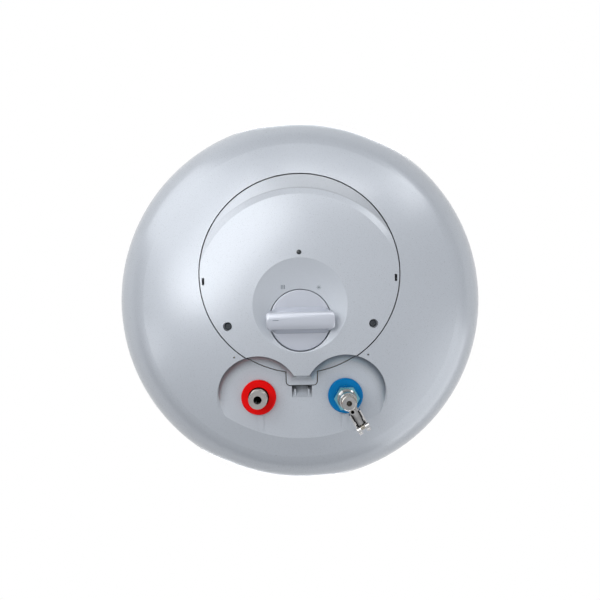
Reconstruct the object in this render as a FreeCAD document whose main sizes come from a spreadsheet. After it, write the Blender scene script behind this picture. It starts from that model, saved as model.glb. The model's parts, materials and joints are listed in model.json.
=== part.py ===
import FreeCAD, Part
import math
import os
import re
import Sketcher

# Storage water heater, hung on a wall and seen from below in use.
# +Z is up, +Y points at the wall, +X is to the right of someone in front of it.
# The origin is the middle of the two hanging holes, on the wall.
# Every piece is drawn about the tank's axis, with height 0 at the joint of casing and
# bottom cap, and its Placement then carries it to the part's own frame.

os.makedirs("parts", exist_ok=True)
doc = FreeCAD.newDocument("StorageWaterHeater")

# Driving dimensions: millimetres, and degrees where the name says angle
SIZES = [
    ("body_radius", 218, "outside of casing and caps"),
    ("casing_height", 612, "casing sheet, between the two caps"),
    ("casing_wall", 1.0, ""),
    ("wall_gap", 18.5, "casing to wall face"),
    ("bracket_height", 480, "hanging holes above the bottom joint"),
    ("fit_gap", 0.2, "slack between pieces that seat in each other"),
    ("lip_height", 14, "spigot of each cap inside the casing"),
    ("lip_wall", 2.4, ""),
    ("lip_root", 4, "foot of the bottom spigot and of the foam below the joint"),
    ("seam_width", 10, "folded seam at the rear of the casing"),
    ("seam_thickness", 1.2, ""),
    ("seam_side", 60, "seam from the middle of the rear"),
    ("top_skirt", 16, "straight skirt of the top cap"),
    ("top_bulge", 44, "dome of the top cap above its skirt"),
    ("top_edge", 7, "sloping edge between them"),
    ("top_wall", 2.6, ""),
    ("cap_depth", 79, "bulge of the bottom cap"),
    ("cap_knuckle", 51.7, "shoulder radius of the bottom cap"),
    ("cap_wall", 2.8, ""),
    ("pipe_spacing", 100, "hot to cold pipe"),
    ("pipe_back", 111.2, "pipes behind the tank axis"),
    ("recess_radius", 48.3, "each lobe of the pipe recess"),
    ("recess_floor", 56.2, "recess floor below the joint"),
    ("recess_round", 10, "fillet at the foot of the recess walls"),
    ("recess_back", 176, "recess tool behind the axis, past the cap's surface"),
    ("beak_back", 86, "tip of the cover's beak between the lobes"),
    ("trough_half", 11.6, "half width of the cable trough"),
    ("trough_length", 14.5, "cable trough in front of the hood"),
    ("trough_depth", 10, "cable trough under the recess floor"),
    ("tooth_side", 7.8, "cable teeth from the middle plane"),
    ("tooth_wall", 1.8, ""),
    ("tab_side", 48.5, "raised tab below each pipe"),
    ("tab_width", 7, ""),
    ("tab_length", 17, ""),
    ("tab_rise", 0.9, ""),
    ("vent_side", 76.3, "small vent holes beside the recess"),
    ("vent_back", 63.8, ""),
    ("vent_radius", 1.0, ""),
    ("cover_radius", 114.5, "service cover"),
    ("cover_front", 31, "its centre in front of the axis"),
    ("cover_gap", 1.1, "dark line round the cover"),
    ("cover_wall", 2.5, ""),
    ("cover_rim", 16, "depth of the seat that holds the cover"),
    ("ledge_width", 20, "seat that the cover rests on"),
    ("ledge_end", 45, "seat stops here, before the pipe recess"),
    ("crease_radius", 122, "crease round the crescent, about the axis"),
    ("crease_width", 8, ""),
    ("crease_drop", 1.1, "crescent below the rest of the cover"),
    ("hood_half", 17.5, "half width of the hood over the cable trough"),
    ("hood_back", 98, ""),
    ("hood_round", 4, "corners of the hood"),
    ("skirt_lip", 1.6, "foot of the cover's skirt above the recess floor"),
    ("dish_radius", 54.2, "dish round the knob"),
    ("dish_back", 7.3, ""),
    ("dish_depth", 9, ""),
    ("dish_rim_drop", 76.5, "dish rim below the joint"),
    ("knob_back", 23.1, "knob axis behind the tank axis"),
    ("knob_radius", 34.9, ""),
    ("knob_gap", 0.9, "dark ring round the knob"),
    ("knob_face", 70.5, "face of the knob's disc below the joint"),
    ("knob_disc", 8.2, "thickness of the disc"),
    ("knob_run", 0.8, "knob's back clear of its cup"),
    ("grip_length", 79, "grip bar, at its crest"),
    ("grip_width", 19, ""),
    ("grip_height", 17, ""),
    ("grip_root_length", 60, "grip bar, where it leaves the disc"),
    ("grip_root_width", 30, ""),
    ("grip_round", 4, ""),
    ("mark_depth", 0.6, "pointer groove in the grip"),
    ("mark_start", 5, ""),
    ("mark_length", 8, ""),
    ("hub_radius", 6, ""),
    ("hub_length", 5, ""),
    ("spindle_radius", 3, ""),
    ("running_gap", 0.05, "slack of a shaft in its bore"),
    ("well_side", 83.1, "screw wells in the cover"),
    ("well_back", 28.4, ""),
    ("well_radius", 5.1, ""),
    ("well_floor", 4.5, "screw seats below the recess floor"),
    ("shank_radius", 1.9, "cover screws"),
    ("screw_head", 2.6, ""),
    ("screw_head_radius", 4.2, ""),
    ("screw_reach", 10, "their tips above the recess floor"),
    ("slot_side", 110.2, "snap slots near the cover's edge"),
    ("slot_front", 23.4, ""),
    ("slot_width", 2.9, ""),
    ("slot_length", 8, ""),
    ("lamp_front", 54.3, "indicator lamp"),
    ("lamp_radius", 2.8, ""),
    ("lamp_body_radius", 4.2, ""),
    ("lamp_sink", 1.2, "tip of the lens above the lowest point of the cover"),
    ("lamp_seat", 4.8, "lens collar above the lens tip"),
    ("lamp_collar", 1.2, ""),
    ("holder_length", 14.6, ""),
    ("tank_radius", 190, "inner tank"),
    ("tank_wall", 2.2, ""),
    ("tank_foot", 5, "lowest point of the tank's head above the joint"),
    ("tank_head", 45, "slope of each tank head"),
    ("tank_top", 590, "highest point of the tank"),
    ("neck_radius", 54, "flange neck of the tank"),
    ("neck_drop", 25, "lower face of the neck's ring below the joint"),
    ("ring_radius", 64, ""),
    ("ring_thickness", 5, ""),
    ("gasket_thickness", 3, ""),
    ("plate_thickness", 5, "flange plate"),
    ("stud_circle", 59, "radius of the stud circle"),
    ("stud_radius", 3.9, ""),
    ("stud_length", 19, ""),
    ("stud_count", 6, ""),
    ("nut_flats", 13, ""),
    ("nut_height", 6.5, ""),
    ("spigot_radius", 10.48, "half-inch pipe thread, over its crests"),
    ("thread_length", 23, "thread on each pipe end, up to the collar"),
    ("pipe_radius", 10.65, "the same pipe above its thread"),
    ("pipe_entry", 18, "pipe ends above the lowest point of the tank"),
    ("spigot_bore", 8, ""),
    ("spigot_drop", 86, "open end of each pipe spigot below the joint"),
    ("collar_radius", 20.1, "coloured collar"),
    ("collar_bore", 12, ""),
    ("collar_thickness", 6.5, ""),
    ("collar_neck", 13.6, ""),
    ("collar_edge", 1.4, ""),
    ("collar_seat", 4.8, "neck of the collar through the cap"),
    ("liner_bore", 4.7, "plastic liner in the end of each spigot"),
    ("liner_lip", 1.2, ""),
    ("liner_length", 35, ""),
    ("liner_rim", 10.2, ""),
    ("diffuser_tall", 22, "spreads the cold water over the pipe's end"),
    ("diffuser_grip", 4, ""),
    ("diffuser_wall", 2, ""),
    ("diffuser_slit", 6, ""),
    ("diffuser_open", 10, ""),
    ("hot_tube_radius", 7.8, "outlet tube up to the top of the tank"),
    ("hot_tube_foot", 36, "its foot above the open end of the spigot"),
    ("hot_tube_clear", 25, "its head under the top of the tank"),
    ("hot_tube_bore", 6.4, ""),
    ("element_radius", 4.2, "heating element"),
    ("element_side", 33, ""),
    ("element_front", 14, ""),
    ("element_height", 270, ""),
    ("element_stub", 6, "ends of the element under the plate"),
    ("pin_length", 8, ""),
    ("anode_radius", 10.5, "sacrificial anode"),
    ("anode_side", 36, ""),
    ("anode_back", 12, ""),
    ("anode_height", 240, ""),
    ("anode_stud", 3, ""),
    ("anode_nut_flats", 10, ""),
    ("anode_nut_height", 5, ""),
    ("anode_tail", 14, ""),
    ("sheath_radius", 5, "thermostat sheath"),
    ("sheath_bore", 4, ""),
    ("sheath_height", 280, ""),
    ("thermostat_wide", 36, ""),
    ("thermostat_deep", 34, ""),
    ("thermostat_tall", 20.8, ""),
    ("tab_drop", 4.5, "spade tabs under the thermostat"),
    ("spade_side", 12, ""),
    ("spade_back", 8, ""),
    ("spade_width", 6.3, ""),
    ("spade_thickness", 0.8, ""),
    ("cutout_side", 31, "thermal cut-out and its reset button"),
    ("cutout_wide", 22, ""),
    ("cutout_deep", 18, ""),
    ("cutout_tall", 16, ""),
    ("reset_radius", 3, ""),
    ("reset_length", 7, ""),
    ("reset_travel", 2, ""),
    ("block_front", 41, "terminal block"),
    ("block_wide", 40, ""),
    ("block_deep", 16, ""),
    ("block_tall", 17, ""),
    ("block_well", 3, "screw wells of the block"),
    ("block_well_depth", 5, ""),
    ("block_screw", 2.6, ""),
    ("block_screw_tall", 2.9, ""),
    ("lead_radius", 1.2, "inner wiring"),
    ("lead_rise", 8, "terminals under the flange plate"),
    ("lead_bend", 5, ""),
    ("branch_angle", 62, "lever branch of the safety valve, from +X"),
    ("hex_flats", 25, ""),
    ("hex_drop", 69.5, "top of the valve's hexagon below the joint"),
    ("hex_height", 20, ""),
    ("socket_depth", 18, ""),
    ("shoulder_radius", 11, ""),
    ("shoulder_height", 3.5, ""),
    ("barrel_radius", 9.5, ""),
    ("barrel_drop", 116, ""),
    ("barrel_bore", 6.2, ""),
    ("inlet_radius", 8.35, "three-eighths pipe thread, over its crests"),
    ("inlet_length", 15, ""),
    ("inlet_bore", 3, ""),
    ("branch_drop", 101, "lever branch below the joint"),
    ("branch_radius", 5.3, ""),
    ("branch_bore", 3.9, ""),
    ("branch_length", 22, ""),
    ("seat_out", 9, "relief seat from the valve's axis"),
    ("port_radius", 2.2, ""),
    ("spout_out", 12.2, "drain spout"),
    ("spout_side", 1.6, ""),
    ("spout_radius", 3.3, ""),
    ("spout_bore", 1.9, ""),
    ("spout_drop", 115, ""),
    ("bonnet_out", 30, "outer face of the bonnet"),
    ("bonnet_neck", 4.6, ""),
    ("bonnet_flange", 2.5, ""),
    ("bonnet_plug", 6, ""),
    ("bonnet_floor", 2, "spring seat in the bonnet, inside the end of the branch"),
    ("stem_radius", 1.3, ""),
    ("disc_radius", 3.2, ""),
    ("disc_thickness", 1.8, ""),
    ("seal_thickness", 1.2, ""),
    ("pin_out", 34, "lever pin from the valve's axis"),
    ("pin_radius", 1.2, ""),
    ("eye_radius", 2.6, ""),
    ("eye_half", 2.5, ""),
    ("relief_lift", 2.5, "stem travel over a quarter turn of the lever"),
    ("cam_gap", 0.15, ""),
    ("lever_start", 15.5, "free end of the lever from the valve's axis"),
    ("lever_half", 5.75, "half of the width inside the lever"),
    ("lever_wall", 1.1, ""),
    ("lever_skirt", 4.5, ""),
    ("lever_tail", 4, "lever past its pin"),
    ("poppet_radius", 5, "check valve"),
    ("poppet_thickness", 2, ""),
    ("poppet_stem", 1.4, ""),
    ("guide_drop", 92, "top of the poppet's guide below the joint"),
    ("guide_thickness", 3, ""),
    ("guide_hole", 1.3, ""),
    ("spring_wire", 0.8, "wire of both springs"),
    ("bracket_half", 130, "hanging bracket"),
    ("bracket_tall", 60, ""),
    ("bracket_wall", 3, ""),
    ("hanging_spacing", 200, ""),
    ("hanging_radius", 6, ""),
    ("foot_angle", 47, "end of each bracket foot, from the rear"),
    ("bolt_angle", 41.5, "bracket bolts, from the rear"),
    ("bolt_rise", 15, ""),
    ("bolt_radius", 4, ""),
    ("bolt_flats", 13, ""),
    ("bolt_head", 5.5, ""),
    ("boss_radius", 9, ""),
    ("spacer_half", 25, "wall spacer low on the rear"),
    ("spacer_height", 120, ""),
    ("spacer_tall", 30, ""),
]

# What follows from the driving dimensions
RULES = {
    "pipe_side": "pipe_spacing / 2",
    "axis_to_wall": "body_radius + wall_gap",
    "jacket": "body_radius - tank_radius",
    "lip_out": "body_radius - casing_wall - fit_gap",
    "knob_well": "knob_radius + knob_gap",
    "knob_rear": "knob_face - knob_disc",
    "cup_floor": "knob_face - knob_disc - knob_run",
    "skirt_floor": "recess_floor + skirt_lip",
    "plate_face": "neck_drop + gasket_thickness + plate_thickness",
    "cap_crown": "(body_radius ^ 2 - 2 * body_radius * cap_knuckle + cap_depth ^ 2)"
                 " / (2 * (cap_depth - cap_knuckle))",
    "top_crown": "(body_radius ^ 2 + top_bulge ^ 2) / (2 * top_bulge)",
    "bolt_reach": "bracket_wall + fit_gap + jacket * 0.58",
    "dish_sphere": "(dish_radius ^ 2 + dish_depth ^ 2) / (2 * dish_depth)",
    "cover_seat": "cover_rim - fit_gap * 2",
    "hole_radius": "spigot_radius + 0.1",
    "socket_drop": "hex_drop + socket_depth",
    "lens_tip": "-cap_depth + lamp_sink",
    "lens_seat": "lens_tip + lamp_seat",
    "lens_back": "lens_seat + fit_gap + lamp_collar",
    "poppet_seat": "-barrel_drop - 1 + fit_gap",
    "cam_radius": "pin_out - bonnet_out + relief_lift / 2 - cam_gap",
}

sheet = doc.addObject("Spreadsheet::Sheet", "Size")
for row, (size_name, size_value, size_note) in enumerate(SIZES, start=1):
    sheet.set(f"A{row}", "'" + size_name)
    sheet.set(f"B{row}", str(size_value))
    sheet.set(f"C{row}", "'" + size_note)
    sheet.setAlias(f"B{row}", size_name)
doc.recompute()
NAMES = {size_name for size_name, _, _ in SIZES}
PIECES = []


def rule(text):
    """Write a size rule, in the sheet's own words, as an expression of the document."""
    def swap(match):
        word = match.group(0)
        if word in RULES:
            return "(" + rule(RULES[word]) + ")"
        if word in NAMES:
            return "Size." + word
        return word
    return re.sub(r"[a-z_][a-z_0-9]*", swap, str(text))


def number(text):
    """Value of a size rule now."""
    value = sheet.evalExpression(rule(text))
    return float(getattr(value, "Value", value))


def bind(thing, **rules):
    """Bind properties, such as Radius or Placement.Base.x written Base_x, to size rules."""
    for key, text in rules.items():
        path = key.replace("Base_", "Placement.Base.")
        thing.setExpression(path, rule(text))
    return thing


def finished(piece, name, x="0", y="0", turn=None, z="0"):
    """Name a finished piece and carry it from the tank's axis to the part's frame."""
    piece.Label = name
    bind(piece, Base_x=x, Base_y=f"{y} - axis_to_wall", Base_z=f"{z} - bracket_height")
    if turn is not None:
        piece.Placement.Rotation = FreeCAD.Rotation(FreeCAD.Vector(0, 0, 1), 1)
        piece.setExpression("Placement.Rotation.Angle", rule(turn))
    PIECES.append(piece)
    return piece


def fix_point(sketch, geometry, end, x, y):
    """Hold one end, or the centre, of a sketch line at a place given by two rules."""
    for kind, text in (("DistanceX", x), ("DistanceY", y)):
        index = sketch.addConstraint(
            Sketcher.Constraint(kind, -1, 1, geometry, end, number(text)))
        sketch.setExpression(f"Constraints[{index}]", rule(text))


def arc_between(start, end, radius, left):
    """Arc of under a half circle; left says that its centre lies left of the way."""
    chord = end - start
    half = chord.Length / 2
    normal = FreeCAD.Vector(-chord.y, chord.x, 0).normalize()
    if not left:
        normal = normal * -1
    centre = start + chord * 0.5 + normal * math.sqrt(max(radius ** 2 - half ** 2, 0))
    first, last = (start, end) if left else (end, start)
    angles = [math.atan2(p.y - centre.y, p.x - centre.x) for p in (first, last)]
    if angles[1] < angles[0]:
        angles[1] += 2 * math.pi
    circle = Part.Circle(centre, FreeCAD.Vector(0, 0, 1), radius)
    return Part.ArcOfCircle(circle, angles[0], angles[1])


def draw_outline(sketch, points, closed=True):
    """Lines and arcs through points: (x, y), or (x, y, radius, side) before an arc."""
    count = len(points)
    places = [FreeCAD.Vector(number(p[0]), number(p[1]), 0) for p in points]
    ends = []
    for index in range(count if closed else count - 1):
        start = places[index]
        end = places[(index + 1) % count]
        if len(points[index]) == 2:
            geometry = sketch.addGeometry(Part.LineSegment(start, end))
            ends.append((geometry, 1, 2))
            continue
        _, _, radius, side = points[index]
        left = side == "left"
        geometry = sketch.addGeometry(arc_between(start, end, number(radius), left))
        ends.append((geometry, 1, 2) if left else (geometry, 2, 1))
        if (end - start).Length < 1.999 * number(radius):
            held = sketch.addConstraint(
                Sketcher.Constraint("Radius", geometry, number(radius)))
            sketch.setExpression(f"Constraints[{held}]", rule(radius))
    for index, (geometry, start_end, far_end) in enumerate(ends):
        fix_point(sketch, geometry, start_end, points[index][0], points[index][1])
        if index + 1 < len(ends) or closed:
            following = ends[(index + 1) % len(ends)]
            sketch.addConstraint(Sketcher.Constraint(
                "Coincident", geometry, far_end, following[0], following[1]))
        else:
            fix_point(sketch, geometry, far_end, points[-1][0], points[-1][1])


def draw_circle(sketch, x, y, radius):
    circle = Part.Circle(
        FreeCAD.Vector(number(x), number(y), 0), FreeCAD.Vector(0, 0, 1), number(radius))
    geometry = sketch.addGeometry(circle)
    fix_point(sketch, geometry, 3, x, y)
    held = sketch.addConstraint(Sketcher.Constraint("Radius", geometry, number(radius)))
    sketch.setExpression(f"Constraints[{held}]", rule(radius))


def new_sketch(body, name, plane="XY_Plane", away="0"):
    """Sketch on one of the body's own planes, moved along the plane's normal."""
    sketch = body.newObject("Sketcher::SketchObject", name)
    support = [o for o in body.Origin.OriginFeatures if o.Role == plane][0]
    sketch.AttachmentSupport = (support, "")
    sketch.MapMode = "FlatFace"
    sketch.setExpression("AttachmentOffset.Base.z", rule(away))
    return sketch


def turned(name, *outlines):
    """Body of revolution about the vertical axis from outlines of (radius, height)."""
    body = doc.addObject("PartDesign::Body", name)
    sketch = new_sketch(body, name + "_profile", "XZ_Plane")
    for points in outlines:
        draw_outline(sketch, points)
    turn = body.newObject("PartDesign::Revolution", name + "_turn")
    turn.Profile = sketch
    turn.ReferenceAxis = (sketch, ["V_Axis"])
    turn.Angle = 360
    return body


def raised(name, length, outlines=(), circles=(), foot="0", plane="XY_Plane", both=False):
    """Body padded from outlines and circles, upwards from foot, or both ways."""
    body = doc.addObject("PartDesign::Body", name)
    sketch = new_sketch(body, name + "_outline", plane, foot)
    for points in outlines:
        draw_outline(sketch, points)
    for circle in circles:
        draw_circle(sketch, *circle)
    pad = body.newObject("PartDesign::Pad", name + "_pad")
    pad.Profile = sketch
    pad.setExpression("Length", rule(length))
    if both:
        pad.Midplane = True
    return body


def oblong(x_low, x_high, y_low, y_high):
    return [(x_low, y_low), (x_high, y_low), (x_high, y_high), (x_low, y_high)]


def cylinder(name, radius, foot, head, x="0", y="0"):
    """Upright cylinder between two heights."""
    made = doc.addObject("Part::Cylinder", name)
    return bind(made, Radius=radius, Height=f"({head}) - ({foot})",
                Base_x=x, Base_y=y, Base_z=foot)


def box(name, x_low, x_high, y_low, y_high, z_low, z_high):
    made = doc.addObject("Part::Box", name)
    return bind(made, Length=f"({x_high}) - ({x_low})", Width=f"({y_high}) - ({y_low})",
                Height=f"({z_high}) - ({z_low})", Base_x=x_low, Base_y=y_low, Base_z=z_low)


def rod(name, radius, start, end, z, y="0", along="x"):
    """Level cylinder along X, from start to end, or along Y at x = y."""
    made = doc.addObject("Part::Cylinder", name)
    axis = FreeCAD.Vector(1, 0, 0) if along == "x" else FreeCAD.Vector(0, 1, 0)
    made.Placement.Rotation = FreeCAD.Rotation(FreeCAD.Vector(0, 0, 1), axis)
    bind(made, Radius=radius, Height=f"({end}) - ({start})", Base_z=z)
    if along == "x":
        return bind(made, Base_x=start, Base_y=y)
    return bind(made, Base_x=y, Base_y=start)


def hexagon(name, flats, foot, head, x="0", y="0"):
    made = doc.addObject("Part::Prism", name)
    made.Polygon = 6
    return bind(made, Circumradius=f"({flats}) / sqrt(3)", Height=f"({head}) - ({foot})",
                Base_x=x, Base_y=y, Base_z=foot)


def fuse(name, *shapes):
    made = doc.addObject("Part::MultiFuse", name)
    made.Shapes = list(shapes)
    return made


def cut(name, base, *tools):
    made = doc.addObject("Part::Cut", name)
    made.Base = base
    made.Tool = tools[0] if len(tools) == 1 else fuse(name + "_tools", *tools)
    return made


def common(name, *shapes):
    made = doc.addObject("Part::MultiCommon", name)
    made.Shapes = list(shapes)
    return made


def group(name, shapes):
    made = doc.addObject("Part::Compound", name)
    made.Links = list(shapes)
    return made


def ball(name, radius, low, y="0"):
    """Sphere whose lowest point is at height low; its own axis lies level."""
    made = doc.addObject("Part::Sphere", name)
    made.Placement.Rotation = FreeCAD.Rotation(FreeCAD.Vector(1, 0, 0), 90)
    return bind(made, Radius=radius, Base_y=y, Base_z=f"({low}) + ({radius})")


def dome(name, inside="0", chords=0):
    """Solid of the bottom cap's dish, moved inwards: a crown and a knuckle.

    The knuckle is an arc, or with chords that many straight steps for a hidden side.
    """
    bend = f"(cap_knuckle - ({inside}))"
    centre = "(body_radius - cap_knuckle)"
    tilt = f"asin({centre} / (cap_crown - cap_knuckle))"
    outline = [("0", "0"), ("0", f"-{bend} * cos({tilt})")]
    if chords:
        for step in range(chords + 1):
            angle = f"({tilt} + (90 deg - {tilt}) * {step} / {chords})"
            outline.append((f"{centre} + {bend} * sin({angle})", f"-{bend} * cos({angle})"))
    else:
        outline.append((f"{centre} + {bend} * sin({tilt})", f"-{bend} * cos({tilt})", bend, "left"))
        outline.append((f"{centre} + {bend}", "0"))
    shoulder = turned(name + "_shoulder", outline)
    crown = common(name + "_crown", ball(name + "_ball", f"cap_crown - ({inside})", f"-cap_depth + ({inside})"),
                   box(name + "_below", "-body_radius", "body_radius", "-body_radius", "body_radius",
                       "-cap_depth - 1", f"-{bend} * cos({tilt})"))
    return fuse(name, shoulder, crown)


# Casing: rolled sheet with a folded seam at the rear, and holes for the bracket's bolts
def bolt_places():
    """Direction and height of each bracket bolt."""
    angle = math.radians(number("bolt_angle"))
    for side in (-1, 1):
        for rise in (-1, 1):
            yield (FreeCAD.Vector(side * math.sin(angle), math.cos(angle), 0),
                   number(f"bracket_height + {rise} * bolt_rise"))


def radial_rod(name, radius, start, end, way, height):
    """Level cylinder pointing away from the tank axis."""
    made = doc.addObject("Part::Cylinder", name)
    bind(made, Radius=radius, Height=f"({end}) - ({start})")
    foot = way * number(start) + FreeCAD.Vector(0, 0, height)
    turn = FreeCAD.Rotation(FreeCAD.Vector(0, 0, 1), way)
    made.Placement = FreeCAD.Placement(foot, turn)
    return made


def make_casing():
    tube = raised("casing_tube", "casing_height",
                  circles=[("0", "0", "body_radius"), ("0", "0", "body_radius - casing_wall")])
    ring = cut("seam_ring", cylinder("seam_out", "body_radius + seam_thickness", "0", "casing_height"),
               cylinder("seam_in", "body_radius - casing_wall / 2", "0", "casing_height"))
    strip = box("seam_strip", "seam_side - seam_width / 2", "seam_side + seam_width / 2",
                "0", "axis_to_wall", "0", "casing_height")
    seam = common("casing_seam", ring, strip)
    holes = [radial_rod(f"casing_hole_{i}", "bolt_radius + fit_gap", "tank_radius", "axis_to_wall", *place)
             for i, place in enumerate(bolt_places())]
    finished(cut("casing_cut", fuse("casing_seamed", tube, seam), *holes), "outer_casing")


# Top cap: shallow dome on a short skirt, with a spigot that fits inside the casing
def make_top_cap():
    edge = "casing_height + top_skirt"
    top = f"{edge} + top_bulge"
    foot = "casing_height - lip_height"
    blank = turned("top_blank", [
        ("0", foot), ("lip_out", foot), ("lip_out", "casing_height"), ("body_radius", "casing_height"),
        ("body_radius", f"{edge} - top_edge"), ("body_radius - top_edge", f"{edge} + top_edge / 2"),
        ("body_radius - top_edge", f"{top} + 1"), ("0", f"{top} + 1")])
    solid = common("top_solid", blank, ball("top_ball", "top_crown", f"{top} - top_crown * 2"))
    inside = [("0", f"{foot} - 1"), ("lip_out - lip_wall", f"{foot} - 1"),
              ("lip_out - lip_wall", f"{edge} - top_wall * 2")]
    for share in (0.97, 0.75, 0.5, 0.25, 0):
        inside.append((f"body_radius * {share}", f"{edge} + top_bulge * (1 - {share} ^ 2) - top_wall * 1.3"))
    hollow = turned("top_hollow", inside)
    finished(cut("top_whole", solid, hollow), "top_cap")


# Pipe recess: two lobes round the pipes, open at the back, with a filleted floor
def recess(name, grow, floor):
    """Solid that cuts the recess, filleted, or with grow the hidden side of its wall."""
    lobe = f"(recess_radius + {grow})"
    front = f"(beak_back - {grow})"
    tip = f"(pipe_side - sqrt({lobe} ^ 2 - (pipe_back - {front}) ^ 2))"
    edge = f"(pipe_side + {lobe})"
    outline = [
        (f"-{tip}", front), (tip, front, lobe, "left"), (edge, "pipe_back"),
        (edge, "recess_back"), (f"-{edge}", "recess_back"),
        (f"-{edge}", "pipe_back", lobe, "left")]
    body = raised(name, "cap_depth", [outline], foot=f"-({floor}) + {grow} - cap_depth")
    if grow != "0":
        return body
    doc.recompute()
    pad = body.Tip
    level = number(f"-({floor}) + {grow}")
    back = number("recess_back")
    picked = []
    for index, line in enumerate(pad.Shape.Edges, start=1):
        corners = line.BoundBox
        flat = abs(corners.ZMin - level) < 1e-6 and abs(corners.ZMax - level) < 1e-6
        if flat and corners.YMin < back - 1e-3:
            picked.append(f"Edge{index}")
    round_off = body.newObject("PartDesign::Fillet", name + "_fillet")
    round_off.Base = (pad, picked)
    round_off.setExpression("Radius", rule("recess_round"))
    body.Tip = round_off
    return body


def cover_outline(name, grow, head="0", hood=True):
    """Upright prism of the service cover's outline, made larger by grow."""
    disc = cylinder(name + "_disc", f"cover_radius + {grow}", "-cap_depth - 10", head,
                    y="-cover_front")
    if not hood:
        return disc
    half = f"(hood_half + {grow})"
    back = f"(hood_back + {grow})"
    turn = f"(hood_round + {grow})"
    shape = raised(name + "_hood", f"({head}) + cap_depth + 10", [[
        (f"-{half}", "ledge_end"), (half, "ledge_end"),
        (half, f"{back} - {turn}", turn, "left"), (f"{half} - {turn}", back),
        (f"-{half} + {turn}", back, turn, "left"), (f"-{half}", f"{back} - {turn}")]],
        foot="-cap_depth - 10")
    return fuse(name, disc, shape)


# Bottom cap: dome with the pipe recess, the cover's seat, the cable trough and the lip
def make_bottom_cap():
    seat = cut("seat_tool", cover_outline("seat_outline", "cover_gap"),
               ball("seat_ball", "cap_crown - cover_rim", "-cap_depth + cover_rim"))
    seat_out = cut("seat_wall", cover_outline("seat_wall_outline", "(cover_gap + cap_wall)", hood=False),
                   ball("seat_wall_ball", "cap_crown - cover_rim - cap_wall", "-cap_depth + cover_rim + cap_wall"))
    trough = raised("trough_tool", "trough_half * 2", [[
        ("hood_back - 12", "-recess_floor - 2"),
        ("hood_back + trough_length", "-recess_floor - 2"),
        ("hood_back + trough_length", "-recess_floor"),
        ("hood_back", "-recess_floor + trough_depth"),
        ("hood_back - 12", "-recess_floor + trough_depth")]], plane="YZ_Plane", both=True)
    trough_out = raised("trough_wall", "(trough_half + cap_wall) * 2", [[
        ("hood_back - 10", "-recess_floor - 1"),
        ("hood_back + trough_length + cap_wall", "-recess_floor - 1"),
        ("hood_back + trough_length + cap_wall", "-recess_floor + cap_wall / 2"),
        ("hood_back + cap_wall / 2", "-recess_floor + trough_depth + cap_wall"),
        ("hood_back - 10", "-recess_floor + trough_depth + cap_wall")]],
        plane="YZ_Plane", both=True)
    posts = [cylinder(f"post_{side}", "well_radius", "-recess_floor - 5", "-recess_floor + 12",
                      x=f"{side} * well_side", y="well_back") for side in (-1, 1)]
    cavity = cut("cap_cavity", dome("cap_in", "cap_wall", chords=3),
                 recess("recess_wall", "cap_wall", "recess_floor"), seat_out, trough_out, *posts)
    shell = cut("cap_shell", dome("cap_out"), cavity)
    lip = raised("cap_lip", "lip_height + lip_root", foot="-lip_root",
                 circles=[("0", "0", "lip_out"), ("0", "0", "lip_out - lip_wall")])
    hollow = cut("cap_hollow", shell, recess("recess_tool", "0", "recess_floor"), seat)
    service = cylinder("service_hole", "cover_radius - ledge_width", "-cap_depth - 10", "10",
                       y="-cover_front")
    beyond = common("beak_hole", cover_outline("beak_outline", "cover_gap", "10"),
                    box("beak_half", "-cover_radius", "cover_radius", "ledge_end", "recess_back",
                        "-cap_depth - 10", "10"))
    holes = [service, beyond, trough]
    for side in (-1, 1):
        holes.append(cylinder(f"pipe_hole_{side}", "collar_neck + fit_gap", "-cap_depth", "0",
                              x=f"{side} * pipe_side", y="pipe_back"))
        holes.append(cylinder(f"vent_{side}", "vent_radius", "-cap_depth", "0",
                              x=f"{side} * vent_side", y="vent_back"))
        holes.append(cylinder(f"pilot_{side}", "shank_radius + fit_gap / 2", "-cap_depth", "0",
                              x=f"{side} * well_side", y="well_back"))
    open_shell = cut("cap_open", hollow, *holes)
    extras = [lip]
    for side in (-1, 1):
        extras.append(raised(f"tooth_{side + 1}", "tooth_wall", [[
            ("hood_back + 2", "-recess_floor + trough_depth * 0.9"),
            ("hood_back + 5", "-recess_floor + 0.6"),
            ("hood_back + 8", "-recess_floor + 0.6"),
            ("hood_back + trough_length - 1", "-recess_floor + 1.2"),
            ("hood_back + 2", "-recess_floor + trough_depth")]],
            plane="YZ_Plane", foot=f"{side} * tooth_side - tooth_wall / 2"))
        extras.append(box(f"tab_{side + 1}", f"{side} * tab_side - tab_width / 2",
                          f"{side} * tab_side + tab_width / 2",
                          "pipe_back + collar_radius + 1", "pipe_back + collar_radius + 1 + tab_length",
                          "-recess_floor - tab_rise", "-recess_floor + cap_wall / 2"))
    finished(fuse("cap_whole", open_shell, *extras), "bottom_cap")


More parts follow.
